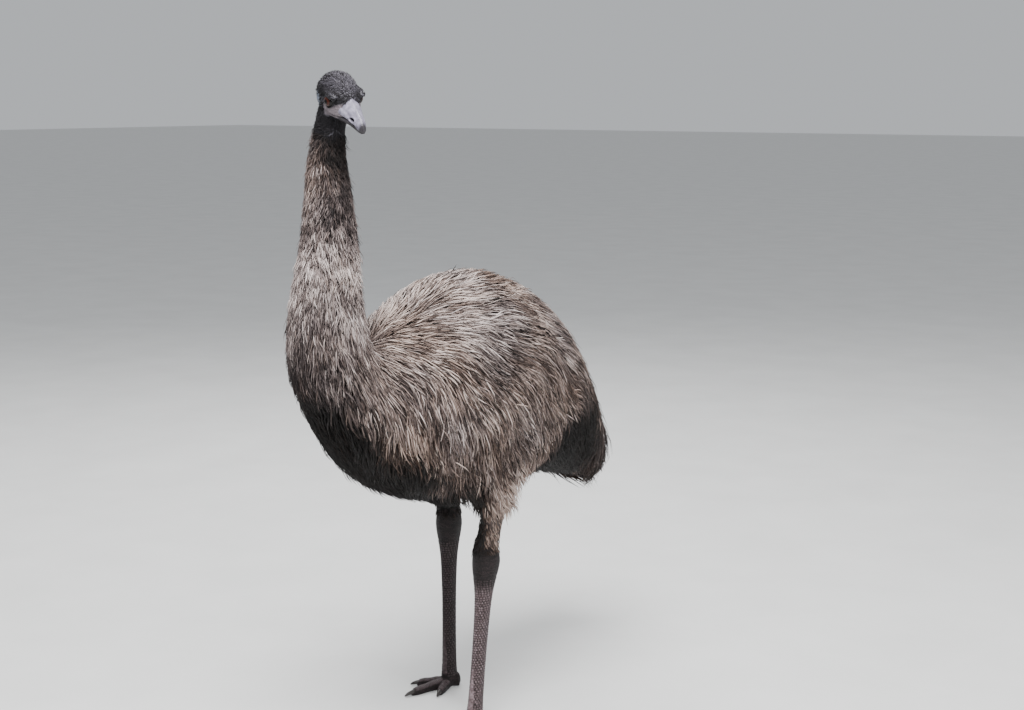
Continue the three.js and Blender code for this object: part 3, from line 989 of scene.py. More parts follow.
def tint(locks, spread_of_tone):
    """Gives each lock the tone of its place, with a difference of its own and its bundle's."""
    rng = locks.rng
    tone = coat_tone(locks.places, locks.normals)
    own = rng.normal(size=locks.count) * spread_of_tone
    if locks.owner is not None:
        own = own * 0.75 + own[locks.owner] * 0.75
    pale = rng.random(locks.count) < 0.13
    tone = tone + own * (0.2 + 1.6 * tone) + np.where(pale, 0.22, 0.0) * smooth(0.15, 0.4, tone)
    warm = coat_warmth(locks.places) + rng.normal(size=locks.count) * 0.18
    locks.tone = np.clip(tone, 0, 1)
    locks.warm = np.clip(warm, 0, 1)


def coat_pieces(name, locks, groups, material):
    """One piece of coat for each named group of locks."""
    for group, picked in groups:
        lock_mesh(f"{name}_{group}", locks, picked, material)


def sown(surface, weights, count, seed):
    """Locks rooted at random on the skin, with a weight for each face."""
    rng = np.random.default_rng(seed)
    places, faces = surface.scatter(weights, int(count * DENSITY), rng)
    return Locks(surface, places, faces, rng)


def varied(locks, spread, most):
    """A factor about 1 for each lock."""
    return locks.rng.normal(1, spread, locks.count).clip(0.5, most)


def keep_above_hem(locks):
    """Draws in the tips that hang below the lowest line of the coat."""
    path = locks.path
    hem = KEEL(path[:, :, 1].ravel()).reshape(path.shape[:2])
    below = np.maximum(hem - path[:, :, 2], 0)
    path[:, :, 2] += below * locks.rng.uniform(0.35, 0.8, locks.count)[:, None]


def trunk_coat(surface, material):
    """Long shaggy locks, longest on the tail, that hang past the belly and the thighs."""
    middles = surface.middles
    trunk = (1 - on_neck(middles)) * (1 - on_head(middles)) * (1 - on_thigh(middles))
    trunk *= smooth(0.48, 0.50, middles[:, 2])
    locks = sown(surface, trunk * (1.0 + 0.6 * on_tail(middles)), TRUNK_LOCKS, 21)
    rng, count, places, normals = locks.rng, locks.count, locks.places, locks.normals
    under = smooth(-0.1, -0.7, normals[:, 2])
    tail = on_tail(places)
    layer = rng.beta(1.6, 1.0, count)
    depth = 0.022 + 0.012 * under
    length = rng.normal(0.098, 0.020, count).clip(0.05, 0.15)
    length = length * (1 + 0.6 * tail * (1 - under) - 0.3 * tail * under)
    width = rng.normal(0.0033, 0.0008, count).clip(0.0017, 0.0055)
    stray = (rng.random(count) < 0.10 + 0.22 * tail + 0.12 * under) * rng.random(count)
    hanging = tail * smooth(-0.5, -0.1, normals[:, 2]) * smooth(0.86, 0.74, places[:, 2])
    length = length * (1 + 0.40 * hanging) * (1 - 0.6 * smooth(0.555, 0.59, places[:, 1]))
    locks.grow(
        length, width, depth * (0.18 + 0.82 * layer), turn=0.25 + 0.08 * tail,
        droop=0.10 + 0.35 * under * (1 - tail) + 0.5 * tail * (1 - under) + 0.5 * hanging,
        free=np.clip(0.45 * under * (1 - tail) + 0.5 * tail * (1 - under) + hanging, 0, 0.96),
        lift=stray * (0.014 + 0.024 * tail) + 0.016 * tail * rng.random(count), wave=0.0024,
    )
    locks.clump(9, 0.42)
    keep_above_hem(locks)
    tint(locks, 0.17)
    locks.unwrap = unwrap_trunk(places)
    groups = []
    for side, name in ((places[:, 0] >= 0, "left"), (places[:, 0] < 0, "right")):
        ids = np.nonzero(side)[0]
        ids = ids[np.argsort(places[ids, 1])]
        for part, chunk in zip(("front", "middle", "rear"), np.array_split(ids, 3)):
            groups.append((f"{part}_{name}", chunk))
    coat_pieces("coat", locks, groups, material)


def neck_coat(surface, material):
    """Shorter locks down the neck, a little ragged at the nape."""
    middles = surface.middles
    neck = on_neck(middles) * smooth(0.95, 0.55, on_head(middles))
    size = np.interp(middles[:, 2], [1.0, 1.5], [1.0, 2.3])
    locks = sown(surface, neck * size, NECK_LOCKS, 22)
    rng, count, z = locks.rng, locks.count, locks.places[:, 2]
    layer = rng.beta(1.4, 1.0, count)
    depth = np.interp(z, [1.0, 1.2, 1.4, 1.5], [0.018, 0.013, 0.010, 0.008])
    length = np.interp(z, [0.95, 1.2, 1.45, 1.53], [0.056, 0.042, 0.028, 0.014])
    length = length * varied(locks, 0.2, 1.5)
    width = np.interp(z, [0.95, 1.2, 1.45, 1.53], [0.0029, 0.0025, 0.0020, 0.0014])
    width = width * varied(locks, 0.22, 1.6)
    stray = (rng.random(count) < 0.12) * rng.random(count)
    nape = smooth(-0.2, 0.7, locks.normals[:, 1])
    lift = stray * (0.010 + 0.010 * nape)
    locks.grow(
        length, width, depth * (0.15 + 0.85 * layer), turn=0.26, droop=0.1, lift=lift, wave=0.0014
    )
    locks.clump(7, 0.35)
    tint(locks, 0.11)
    locks.unwrap = unwrap_neck(locks.places)
    lower, upper = np.array_split(np.argsort(z), 2)
    coat_pieces("neck_coat", locks, [("lower", lower), ("upper", upper)], material)


def thigh_coat(surface, material):
    """The tuft of each thigh, and the short coat of the shin below it."""
    middles = surface.middles
    weights = on_thigh(middles) * smooth(0.026, 0.034, middles[:, 2] - hock_height(middles))
    shin = smooth(0.60, 0.52, middles[:, 2])
    locks = sown(surface, weights * (1 + 1.2 * shin), THIGH_LOCKS, 23)
    rng, count, places = locks.rng, locks.count, locks.places
    shin = smooth(0.605, 0.575, places[:, 2])
    length = mix(0.056, 0.015, shin) * varied(locks, 0.2, 1.5)
    width = mix(0.0030, 0.0019, shin) * varied(locks, 0.2, 1.5)
    height = mix(0.015, 0.0026, shin) * rng.beta(1.5, 1.0, count)
    outer = smooth(0.0, 0.6, locks.normals @ THIGH_SIDE) * (places[:, 0] > 0)
    lift = (1 - shin) * (0.012 * rng.random(count) ** 2 + 0.022 * outer * rng.random(count))
    locks.grow(length, width, 0.001 + height, turn=0.25, droop=0.15, lift=lift, wave=0.001)
    locks.clump(7, 0.35)
    tint(locks, 0.16)
    locks.unwrap = unwrap_legs(places)
    coat_pieces("thigh_coat", locks, [("both", np.arange(count))], material)


def side_of_head(local):
    """1 on both sides of the head, 0 along its middle."""
    return smooth(14, 25, np.abs(local[:, 1]))


def bare_cheek(local):
    """1 on the pale blue skin round the ear."""
    forward, up = local[:, 0], local[:, 2]
    cheek = pressed(np.hypot((forward + 45) / 1.3, (up + 10) / 1.2), 15, 9)
    return cheek * side_of_head(local)


def bare_gape(local):
    """1 on the pale skin from the bill back to below the eye."""
    forward, up = local[:, 0], local[:, 2]
    top = mix(-13.0, 7.0, np.clip(forward / 42, 0, 1))
    inside = smooth(3, -3, up - top) * smooth(-40, -34, up)
    inside = inside * smooth(-24, -10, forward) * smooth(62, 54, forward)
    return inside * side_of_head(local)


def bare_socket(local):
    """1 on the lids and the ring of bare skin round the eye."""
    forward, up = local[:, 0], local[:, 2]
    return pressed(np.hypot(forward - EYE_FORWARD, up - EYE_UP), 18.0, 4) * side_of_head(local)


def clear_of_face(locks):
    """The locks that run across neither an eye nor the bare skin of gape and cheek."""
    flat = head_local(locks.path.reshape(-1, 3))
    shape = locks.path.shape[:2]
    across = np.hypot(flat[:, 0] - EYE_FORWARD, flat[:, 2] - EYE_UP)
    over_eye = ((across < LID_RING + 0.3) & (np.abs(flat[:, 1]) > 18)).reshape(shape).any(1)
    over_gape = (bare_gape(flat) > 0.35).reshape(shape)[:, 1:].any(1)
    over_cheek = (bare_cheek(flat) > 0.6).reshape(shape)[:, 1:].any(1)
    some = locks.rng.random(locks.count)
    return np.nonzero(~over_eye & ~(over_gape & (some > 0.05)) & ~(over_cheek & (some > 0.3)))[0]


def head_coat(surface, material):
    """Fine dark bristles, some of them long, that leave the face bare."""
    middles = surface.middles
    local = head_local(middles)
    bare = np.maximum.reduce([bare_cheek(local), bare_gape(local), bare_socket(local)])
    head = on_head(middles) * (1 - 0.97 * smooth(0.25, 0.6, bare))
    head *= smooth(56, 46, local[:, 0])
    locks = sown(surface, head, HEAD_LOCKS, 24)
    rng, count = locks.rng, locks.count
    local = head_local(locks.places)
    front = smooth(-30, 40, local[:, 0])
    back = smooth(-45, -80, local[:, 0])
    low = smooth(-20, -44, local[:, 2])
    length = mix(0.013, 0.006, front) + 0.009 * back + 0.004 * low
    length = length * varied(locks, 0.22, 1.6)
    width = mix(0.0013, 0.0009, front) * varied(locks, 0.2, 1.5)
    height = 0.0005 + 0.0016 * rng.beta(1.3, 1.2, count)
    stray = (rng.random(count) < 0.22) * rng.random(count)
    lift = (0.0015 + 0.005 * back) * stray
    long_hair = rng.random(count) < 0.10
    length = np.where(long_hair, length * 1.7, length)
    lift = np.where(long_hair, lift + 0.003 * smooth(30, -20, local[:, 0]), lift)
    locks.grow(length, width, height, turn=0.28, lift=lift, wave=0.0006)
    tint(locks, 0.05)
    # paler bristles on the crown: partly their own grey with skin showing through, partly painted
    # highlight on the top of the head
    crown = smooth(10, 40, local[:, 2])
    locks.tone = 0.07 + 0.10 * rng.random(count) + crown * (0.15 + 0.22 * rng.random(count))
    locks.tone = np.where(long_hair, 0.10, locks.tone)
    locks.unwrap = unwrap_head(locks.places)
    coat_pieces("head_coat", locks, [("all", clear_of_face(locks))], material)


# materials

class Graph:
    """A material's nodes, added by short calls."""

    def __init__(self, name):
        self.material = bpy.data.materials.new(name)
        self.material.use_nodes = True
        self.tree = self.material.node_tree
        self.tree.nodes.clear()
        self.output = self.tree.nodes.new("ShaderNodeOutputMaterial")
        self.shader = self.tree.nodes.new("ShaderNodeBsdfPrincipled")
        self.link(self.shader.outputs[0], self.output.inputs["Surface"])
        self.space = self.tree.nodes.new("ShaderNodeTexCoord").outputs["Object"]

    def link(self, source, target):
        self.tree.links.new(source, target)

    def attribute(self, name):
        node = self.tree.nodes.new("ShaderNodeAttribute")
        node.attribute_name = name
        return node.outputs["Fac"]

    def noise(self, scale, detail=3.0, rough=0.55, space=None):
        node = self.tree.nodes.new("ShaderNodeTexNoise")
        node.inputs["Scale"].default_value = scale
        node.inputs["Detail"].default_value = detail
        node.inputs["Roughness"].default_value = rough
        self.link(space or self.space, node.inputs["Vector"])
        return node.outputs["Fac"]

    def stretched(self, scale):
        node = self.tree.nodes.new("ShaderNodeMapping")
        node.inputs["Scale"].default_value = scale
        self.link(self.space, node.inputs["Vector"])
        return node.outputs["Vector"]

    def cells(self, scale, feature="F1", space=None):
        node = self.tree.nodes.new("ShaderNodeTexVoronoi")
        node.feature = feature
        node.inputs["Scale"].default_value = scale
        self.link(space or self.space, node.inputs["Vector"])
        return node.outputs["Distance"]

    def ramp(self, value, stops):
        node = self.tree.nodes.new("ShaderNodeValToRGB")
        ramp = node.color_ramp
        while len(ramp.elements) < len(stops):
            ramp.elements.new(0.5)
        for element, (place, color) in zip(ramp.elements, stops):
            element.position = place
            element.color = (*color, 1.0)
        self.link(value, node.inputs["Fac"])
        return node.outputs["Color"]

    def blend(self, share, first, second, kind="MIX"):
        node = self.tree.nodes.new("ShaderNodeMix")
        node.data_type = "RGBA"
        node.blend_type = kind
        sockets = (node.inputs[0], node.inputs[6], node.inputs[7])
        for socket, value in zip(sockets, (share, first, second)):
            if isinstance(value, (int, float)):
                socket.default_value = value
            elif isinstance(value, tuple):
                socket.default_value = (*value, 1.0)
            else:
                self.link(value, socket)
        return node.outputs[2]

    def math(self, kind, first, second=0.0, third=0.0):
        node = self.tree.nodes.new("ShaderNodeMath")
        node.operation = kind
        for socket, value in zip(node.inputs, (first, second, third)):
            if isinstance(value, (int, float)):
                socket.default_value = value
            else:
                self.link(value, socket)
        return node.outputs[0]

    def reach(self, value, low, high, to_low, to_high):
        node = self.tree.nodes.new("ShaderNodeMapRange")
        for socket, number in zip(list(node.inputs)[1:5], (low, high, to_low, to_high)):
            socket.default_value = number
        self.link(value, node.inputs["Value"])
        return node.outputs["Result"]

    def relief(self, height, strength, distance):
        node = self.tree.nodes.new("ShaderNodeBump")
        node.inputs["Strength"].default_value = strength
        node.inputs["Distance"].default_value = distance
        self.link(height, node.inputs["Height"])
        self.link(node.outputs["Normal"], self.shader.inputs["Normal"])

    def finish(self, color, rough, **constants):
        self.link(color, self.shader.inputs["Base Color"])
        if isinstance(rough, (int, float)):
            self.shader.inputs["Roughness"].default_value = rough
        else:
            self.link(rough, self.shader.inputs["Roughness"])
        for name, value in constants.items():
            self.shader.inputs[name.replace("_", " ")].default_value = value
        return self.material


def srgb(red, green, blue):
    """Linear colour from the numbers 0 to 255 of a screen colour."""
    return tuple(((value / 255 + 0.055) / 1.055) ** 2.4 for value in (red, green, blue))


COOL_STOPS = (
    (0.0, srgb(17, 15, 15)), (0.22, srgb(40, 35, 35)), (0.45, srgb(88, 78, 77)),
    (0.7, srgb(150, 137, 134)), (1.0, srgb(206, 194, 190)),
)
WARM_STOPS = (
    (0.0, srgb(20, 16, 14)), (0.22, srgb(46, 36, 31)), (0.45, srgb(99, 81, 72)),
    (0.7, srgb(160, 137, 125)), (1.0, srgb(208, 188, 176)),
)


def coat_material():
    g = Graph("coat_locks")
    tone = g.attribute("tone")
    streak = g.noise(90, 4)
    tone = g.math("ADD", tone, g.reach(streak, 0.3, 0.7, -0.06, 0.06))
    cool = g.ramp(tone, COOL_STOPS)
    warm = g.ramp(tone, WARM_STOPS)
    color = g.blend(g.attribute("warm"), cool, warm)
    along = g.attribute("along")
    # dark at the root as painted shade among the locks, and darker at the tip like the feathers'
    # own dark ends
    shade = g.ramp(along, (
        (0.0, (0.20,) * 3), (0.35, (0.82,) * 3), (0.7, (1.0,) * 3), (1.0, (0.7,) * 3),
    ))
    color = g.blend(1.0, color, shade, "MULTIPLY")
    g.relief(g.noise(1400, 2), 0.25, 0.0006)
    return g.finish(color, g.reach(streak, 0.3, 0.7, 0.58, 0.78), Specular_IOR_Level=0.2)


LILAC_STOPS = (
    (0.0, srgb(15, 14, 15)), (0.22, srgb(42, 39, 43)), (0.45, srgb(94, 90, 98)),
    (0.7, srgb(152, 148, 160)), (1.0, srgb(196, 192, 202)),
)


def bristle_material():
    g = Graph("head_bristles")
    streak = g.noise(240, 3)
    tone = g.math("ADD", g.attribute("tone"), g.reach(streak, 0.3, 0.7, -0.05, 0.05))
    color = g.ramp(tone, LILAC_STOPS)
    # darker at the root as painted shade among the bristles, and a little darker at the tip
    shade = g.ramp(g.attribute("along"), ((0.0, (0.4,) * 3), (0.5, (1.0,) * 3), (1.0, (0.8,) * 3)))
    color = g.blend(1.0, color, shade, "MULTIPLY")
    g.relief(g.noise(2400, 2), 0.2, 0.0004)
    return g.finish(color, g.reach(streak, 0.3, 0.7, 0.52, 0.72), Specular_IOR_Level=0.22)


def under_material():
    """The skin under the coat, in the same markings, darker as painted shade between the locks."""
    g = Graph("under_coat")
    tone = g.math("ADD", g.attribute("tone"), g.reach(g.noise(160, 4), 0.3, 0.7, -0.12, 0.08))
    color = g.ramp(tone, COOL_STOPS)
    # darkened all over: painted shade in the gaps between the locks
    color = g.blend(1.0, color, (0.24, 0.22, 0.21), "MULTIPLY")
    g.relief(g.noise(420, 4), 0.6, 0.003)
    return g.finish(color, 0.85)


def face_material():
    """Bare blue-grey skin on the cheek and round the eye, and dark skin under the bristles."""
    g = Graph("face_skin")
    bare = g.attribute("bare")
    mottle = g.noise(260, 4)
    blue = g.ramp(mottle, (
        (0.3, srgb(74, 80, 92)), (0.55, srgb(110, 117, 131)), (0.75, srgb(148, 154, 167)),
    ))
    dark = g.ramp(mottle, ((0.3, srgb(36, 34, 39)), (0.7, srgb(74, 71, 80))))
    color = g.blend(g.reach(bare, 0.15, 0.75, 0.0, 1.0), dark, blue)
    pale = g.ramp(mottle, ((0.3, srgb(82, 74, 79)), (0.7, srgb(130, 119, 124))))
    color = g.blend(g.attribute("gape"), color, pale)
    # the mouth line: painted shade in its groove
    color = g.blend(g.attribute("lips"), color, srgb(30, 26, 28))
    lid_look = g.ramp(mottle, ((0.3, srgb(20, 18, 20)), (0.7, srgb(44, 40, 44))))
    color = g.blend(g.attribute("lid"), color, lid_look)
    wrinkles = g.cells(420, "DISTANCE_TO_EDGE")
    height = g.math("ADD", g.math("MULTIPLY", g.math("MINIMUM", wrinkles, 0.2), 1.6), mottle)
    g.relief(height, 0.6, 0.0012)
    return g.finish(color, g.reach(mottle, 0.3, 0.7, 0.42, 0.62))


def leg_material():
    """Dark creased skin between the scales, with small grains."""
    g = Graph("leg_skin")
    edge = g.cells(260, "DISTANCE_TO_EDGE", g.stretched((1.0, 1.0, 0.8)))
    gap = g.reach(edge, 0.03, 0.16, 0.0, 1.0)
    mottle = g.noise(30, 5)
    fine = g.noise(420, 3)
    grain = g.ramp(mottle, ((0.32, srgb(66, 54, 54)), (0.68, srgb(98, 84, 86))))
    color = g.blend(gap, srgb(38, 30, 30), grain)
    folds = g.noise(110, 3, 0.6, g.stretched((0.35, 0.35, 2.6)))
    color = g.blend(g.reach(folds, 0.44, 0.60, 0.0, 0.7), color, srgb(24, 19, 19))
    # a nearly black copy for the painted shade of the far leg and for the dark hocks
    dark = g.blend(1.0, color, (0.17, 0.16, 0.16), "MULTIPLY")
    color = g.blend(g.attribute("leg_shade_and_dark_hocks"), color, dark)
    mound = g.math("POWER", g.math("MINIMUM", g.math("MULTIPLY", edge, 2.6), 1.0), 0.5)
    height = g.math("ADD", mound, g.math("MULTIPLY", fine, 0.25))
    height = g.math("SUBTRACT", height, g.math("MULTIPLY", folds, 2.0))
    g.relief(height, 0.8, 0.0016)
    return g.finish(color, g.reach(mottle, 0.3, 0.7, 0.5, 0.7), Specular_IOR_Level=0.25)


def plate_material():
    """Pale pinkish-grey horn of the scales, worn and dusty."""
    g = Graph("leg_plates")
    patchy = g.noise(150, 3)
    fine = g.noise(700, 3)
    color = g.ramp(patchy, (
        (0.3, srgb(72, 59, 61)), (0.5, srgb(108, 93, 96)), (0.7, srgb(150, 134, 138)),
    ))
    color = g.blend(g.reach(fine, 0.35, 0.7, 0.0, 0.5), color, srgb(74, 58, 55))
    # a nearly black copy for the painted shade of the far leg and for the dark hocks
    dark = g.blend(1.0, color, (0.17, 0.16, 0.16), "MULTIPLY")
    color = g.blend(g.attribute("leg_shade_and_dark_hocks"), color, dark)
    g.relief(fine, 0.5, 0.0007)
    return g.finish(color, g.reach(fine, 0.3, 0.7, 0.45, 0.68), Specular_IOR_Level=0.3)


def bill_material(name, light):
    """Horn with a pale lilac-grey side, darker along the ridge, the edge and the tip, and dark in
    the nostril as painted shade.
    """
    g = Graph(name)
    mottle = g.noise(120, 5)
    along = g.stretched((0.5, 0.5, 2.0))
    grain = g.noise(380, 4, 0.6, along)
    low, high = light
    side = g.ramp(mottle, ((0.3, low), (0.7, high)))
    side = g.blend(g.reach(grain, 0.35, 0.7, 0.0, 0.35), side, srgb(92, 84, 90))
    dark = g.ramp(grain, ((0.3, srgb(20, 18, 20)), (0.7, srgb(46, 42, 44))))
    color = g.blend(g.attribute("horn"), side, dark)
    g.relief(g.math("ADD", grain, mottle), 0.35, 0.0006)
    return g.finish(color, g.reach(grain, 0.3, 0.7, 0.28, 0.46), Specular_IOR_Level=0.45)


def eye_material():
    g = Graph("eye_ball")
    ring = g.attribute("ring")
    fibre = g.noise(900, 3)
    shifted = g.math("ADD", ring, g.reach(fibre, 0.3, 0.7, -0.05, 0.05))
    color = g.ramp(shifted, (
        (0.0, srgb(5, 4, 4)), (0.35, srgb(7, 5, 5)), (0.42, srgb(44, 20, 15)),
        (0.66, srgb(66, 31, 22)), (0.86, srgb(34, 17, 14)), (1.0, srgb(10, 8, 8)),
    ))
    return g.finish(color, 0.14, Specular_IOR_Level=0.22)


def claw_material():
    g = Graph("claw_horn")
    along = g.stretched((1.0, 1.0, 3.0))
    grain = g.noise(260, 4, 0.6, along)
    color = g.ramp(grain, (
        (0.3, srgb(20, 18, 18)), (0.6, srgb(48, 42, 40)), (0.8, srgb(84, 74, 68)),
    ))
    g.relief(grain, 0.4, 0.0007)
    return g.finish(color, g.reach(grain, 0.3, 0.7, 0.28, 0.5))


# pieces of the head

def finish_piece(piece, material, slot, *nodes):
    """Puts a piece on the body, with its material, and hides the frame nodes it replaces; the slot
    is not used.
    """
    piece.data.materials.clear()
    piece.data.materials.append(material)
    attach(piece, "root")
    if nodes:
        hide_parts(*nodes)


def bill_piece(name, rows, widest, powers, upper):
    points, faces = head_loft(rows, widest, powers, rings=150, sides=120)
    piece = outward(new_object(name, points, faces))
    points, normals = points_of(piece), normals_of(piece)
    local = head_local(points)
    forward, flank, up = local[:, 0], np.abs(local[:, 1]), local[:, 2]
    move = np.zeros(len(points))
    if upper:
        ridge = bump(flank, 0, 4.5) * smooth(-20, 0, up + (forward - 40) * 0.35)
        move += 1.1 * ridge * smooth(30, 42, forward)
        hollow_up = mix(3.0, -12.0, np.clip((forward - 36) / 50, 0, 1))
        hollow = bump(up, hollow_up, 4.2) * smooth(34, 44, forward) * smooth(92, 76, forward)
        move -= 1.5 * hollow * smooth(4, 10, flank)
        nostril = np.hypot((forward - 83) / 2.0, up + 14.0)
        move -= 7.5 * pressed(nostril, 3.9, 1.8) * smooth(5, 9, flank)
        move += 0.7 * bump(nostril, 5.6, 1.2) * smooth(5, 9, flank)
        nail = smooth(93, 99, forward)
        move += 0.9 * nail * (1 - smooth(112, 119, forward))
        move += 0.6 * bump(up, -20.5, 1.6) * smooth(10, 14, flank)
        tip = 0.95 * smooth(104, 113, forward)
        horn = np.clip(0.22 * bump(flank, 0, 5) * smooth(-16, -6, up) + tip, 0, 1)
        # the nostril pit is dark: painted shade in the hollow
        horn = np.maximum(horn, pressed(nostril, 4.0, 1.6) * smooth(5, 9, flank))
        horn = np.maximum(horn, 0.6 * bump(up, -22.5, 1.4))
    else:
        move -= 0.9 * bump(up, -30.5, 1.6) * smooth(7, 12, flank)
        horn = np.clip(0.55 + 0.3 * smooth(60, 100, forward), 0, 1)
    move += 0.10 * np.sin(forward * 2.2 + flank * 0.3)
    set_points(piece, points + normals * (move * MM)[:, None])
    attribute(piece, "horn", horn)
    return piece


def eye_piece(name, centre, sign):
    shape = bmesh.new()
    bmesh.ops.create_uvsphere(shape, u_segments=64, v_segments=40, radius=EYE_RADIUS * MM)
    piece = placed(name, mesh_from(shape, name))
    axis = unit(HEAD_AXES[1] * sign + HEAD_AXES[0] * 0.22)
    turn = Vector((0, 0, 1)).rotation_difference(Vector(axis)).to_matrix()
    points = points_of(piece)
    from_axis = np.arctan2(np.hypot(points[:, 0], points[:, 1]), points[:, 2])
    ring = from_axis / math.radians(50)
    bulge = 1.0 + 0.06 * smooth(1.0, 0.0, ring)
    points = points * bulge[:, None]
    set_points(piece, points @ np.array(turn).T + centre)
    shade_smooth(piece.data)
    attribute(piece, "ring", np.clip(ring, 0, 1))
    return piece


# pieces of the feet and legs

def claw_piece(name, side, toe):
    origin, forward, right = toe_frame(side, toe)
    share = np.linspace(0, 1, 40)
    size = np.sqrt(1 - share * share * 0.97)
    centres = origin + forward * (toe["reach"] - 9 + share * toe["claw"])[:, None]
    centres[:, 2] = 9.5 - 5.5 * share ** 2
    across = toe["tip"] * 0.62 * size
    high = 6.4 * size
    points, faces = ring_loft(
        row(centres), right, UP, across * MM, high * MM, high * 0.8 * MM, powers=(1.7, 2.0),
        sides=28, floor=0.0008,
    )
    return outward(new_object(name, points, faces))


def plate(grid_of, rows=5, columns=9, sink=0.0012):
    """A closed thin plate over a surface: grid_of gives points and outward directions."""
    along, across = np.meshgrid(np.linspace(0, 1, rows), np.linspace(-1, 1, columns), indexing="ij")
    base, out = grid_of(along, across)
    rise = (0.25 + 0.75 * along ** 0.7) * (1 - np.abs(across) ** 4) * (1 - smooth(0.86, 1.0, along))
    top = base + out * (rise * 0.0015)[..., None]
    low = base - out * sink
    points = np.concatenate([top.reshape(-1, 3), low.reshape(-1, 3)])
    faces = []
    half = rows * columns
    number = np.arange(half).reshape(rows, columns)
    for r in range(rows - 1):
        for c in range(columns - 1):
            quad = (number[r, c], number[r, c + 1], number[r + 1, c + 1], number[r + 1, c])
            faces.append(quad)
            faces.append(tuple(half + i for i in reversed(quad)))
    border = [*number[0], *number[1:, -1], *number[-1, -2::-1], *number[-2:0:-1, 0]]
    for a, b in zip(border, border[1:] + border[:1]):
        faces.append((a, half + a, half + b, b))
    return points, faces


def toe_plates(side, toe, count):
    """Cross plates over the top of a toe."""
    origin, forward, right = toe_frame(side, toe)
    plates = []
    for i in range(count):
        start, end = 0.34 + 0.60 * i / count, 0.34 + 0.60 * (i + 1.12) / count

        def grid_of(along, across):
            share = mix(start, end, along)
            half, height = toe_sizes(toe, share)
            angle = math.radians(90) - across * math.radians(58)
            centre = origin + forward * mix(-HEEL, toe["reach"], share)[..., None]
            below = height * TOE_WIDEST
            sideways = np.cos(angle)[..., None] * right
            upward = np.sin(angle)[..., None] * UP
            base = centre * [1, 1, 0] + below[..., None] * UP + sideways * half[..., None]
            base = base + upward * (height - below)[..., None]
            return row(base), unit(sideways + upward)

        plates.append(plate(grid_of))
    return plates


def shank_spot(side, share, angle):
    """Place on the leg, and the directions outwards and round it; angle 0 is the front."""
    half, deep = shank_half(share)
    centre = shank_axis(side, share.ravel()).reshape(*share.shape, 3)
    away = np.stack([np.sin(angle), -np.cos(angle), angle * 0], -1)
    place = centre + away * np.stack([half, deep, half * 0], -1)
    out = unit(away * np.stack([deep, half, half * 0], -1))
    round_leg = np.stack([-out[..., 1], out[..., 0], angle * 0], -1)
    return place, out, round_leg


def shank_plates(side, count=15):
    """Cross plates down the lower front of the leg."""
    plates = []
    edges = PLATES_FROM + (PLATES_TO - PLATES_FROM) * np.linspace(0, 1, count + 1)
    for low, high in zip(edges[:-1], edges[1:]):

        def grid_of(along, across):
            share = mix(high, low - (high - low) * 0.10, along)
            wide = math.radians(30 - 22 * smooth(PLATES_TO * 0.4, PLATES_TO, low))
            place, out, _ = shank_spot(side, share, across * wide)
            return place, out

        plates.append(plate(grid_of, rows=4, columns=7))
    return plates


def net_scales(side):
    """Low domed scales in staggered rows all round the leg."""
    rng = np.random.default_rng(31)
    tall = HOCK_Z[side] * MM
    scales = []
    for j, share in enumerate(np.arange(0.05, 0.90, NET_PITCH * 0.86 / tall)):
        half, deep = shank_half(np.array([share]))
        girth = math.pi * (half[0] + deep[0])
        count = int(round(girth / NET_PITCH))
        turns = (np.arange(count) + 0.5 * (j % 2)) * 2 * math.pi / count - math.pi
        widest = math.radians(34 - 26 * smooth(PLATES_TO * 0.4, PLATES_TO, share))
        plated = (np.abs(turns) < widest) & (share < PLATES_TO)
        turns = turns[~plated] + rng.normal(size=(~plated).sum()) * 0.02
        place, out, round_leg = shank_spot(side, np.full(len(turns), share), turns)
        for spot, away, sideways in zip(place, out, round_leg):
            wide = NET_PITCH * rng.uniform(0.32, 0.45)
            high = NET_PITCH * rng.uniform(0.30, 0.42)
            corners = [
                spot + sideways * wide * math.cos(a) + np.array([0, 0, high]) * math.sin(a)
                for a in np.arange(6) * math.pi / 3 + math.pi / 6
            ]
            corners.append(spot + away * 0.0013)
            corners.append(spot - away * 0.0012)
            faces = [(i, (i + 1) % 6, 6) for i in range(6)]
            faces += [((i + 1) % 6, i, 7) for i in range(6)]
            scales.append((np.array(corners), faces))
    return scales


def heel_teeth(side, count=46):
    """Two rows of small pointed scales down the back of the leg."""
    teeth = []
    for i in range(count):
        share = 0.10 + 0.80 * i / count
        half, deep = shank_half(np.array([share]))
        centre = shank_axis(side, np.array([share]))[0]
        for lean in (-0.28, 0.28):
            out = unit(np.array([math.sin(lean), math.cos(lean), 0.0]))
            across = np.array([math.cos(lean), -math.sin(lean), 0.0])
            base = centre + out * np.array([half[0], deep[0], 0]) - out * 0.0015
            size = 0.0042 * (0.85 + 0.3 * math.sin(i * 2.1 + lean * 9) ** 2)
            corners = [
                base - across * size, base + across * size,
                base + np.array([0, 0, size * 0.9]), base - np.array([0, 0, size * 0.9]),
                base + out * size * 0.95 - np.array([0, 0, size * 0.6]),
            ]
            faces = [(0, 2, 4), (2, 1, 4), (1, 3, 4), (3, 0, 4), (0, 3, 1, 2)]
            teeth.append((np.array(corners), faces))
    return teeth


def leg_plates(side):
    parts = shank_plates(side)
    parts += toe_plates(side, TOES["middle"], 17)
    parts += toe_plates(side, TOES["inner"], 11)
    return parts + toe_plates(side, TOES["outer"], 12)


def leg_shade_and_dark_hocks(points):
    """How dark a leg is: the far one is nearly black as painted shade, and both hocks are nearly
    black too.
    """
    on_hock = smooth(0.80, 0.90, points[:, 2] / hock_height(points))
    # the far leg: painted shade
    return np.maximum(0.8 * smooth(0.03, -0.03, points[:, 0]), 0.9 * on_hock)


# putting it together

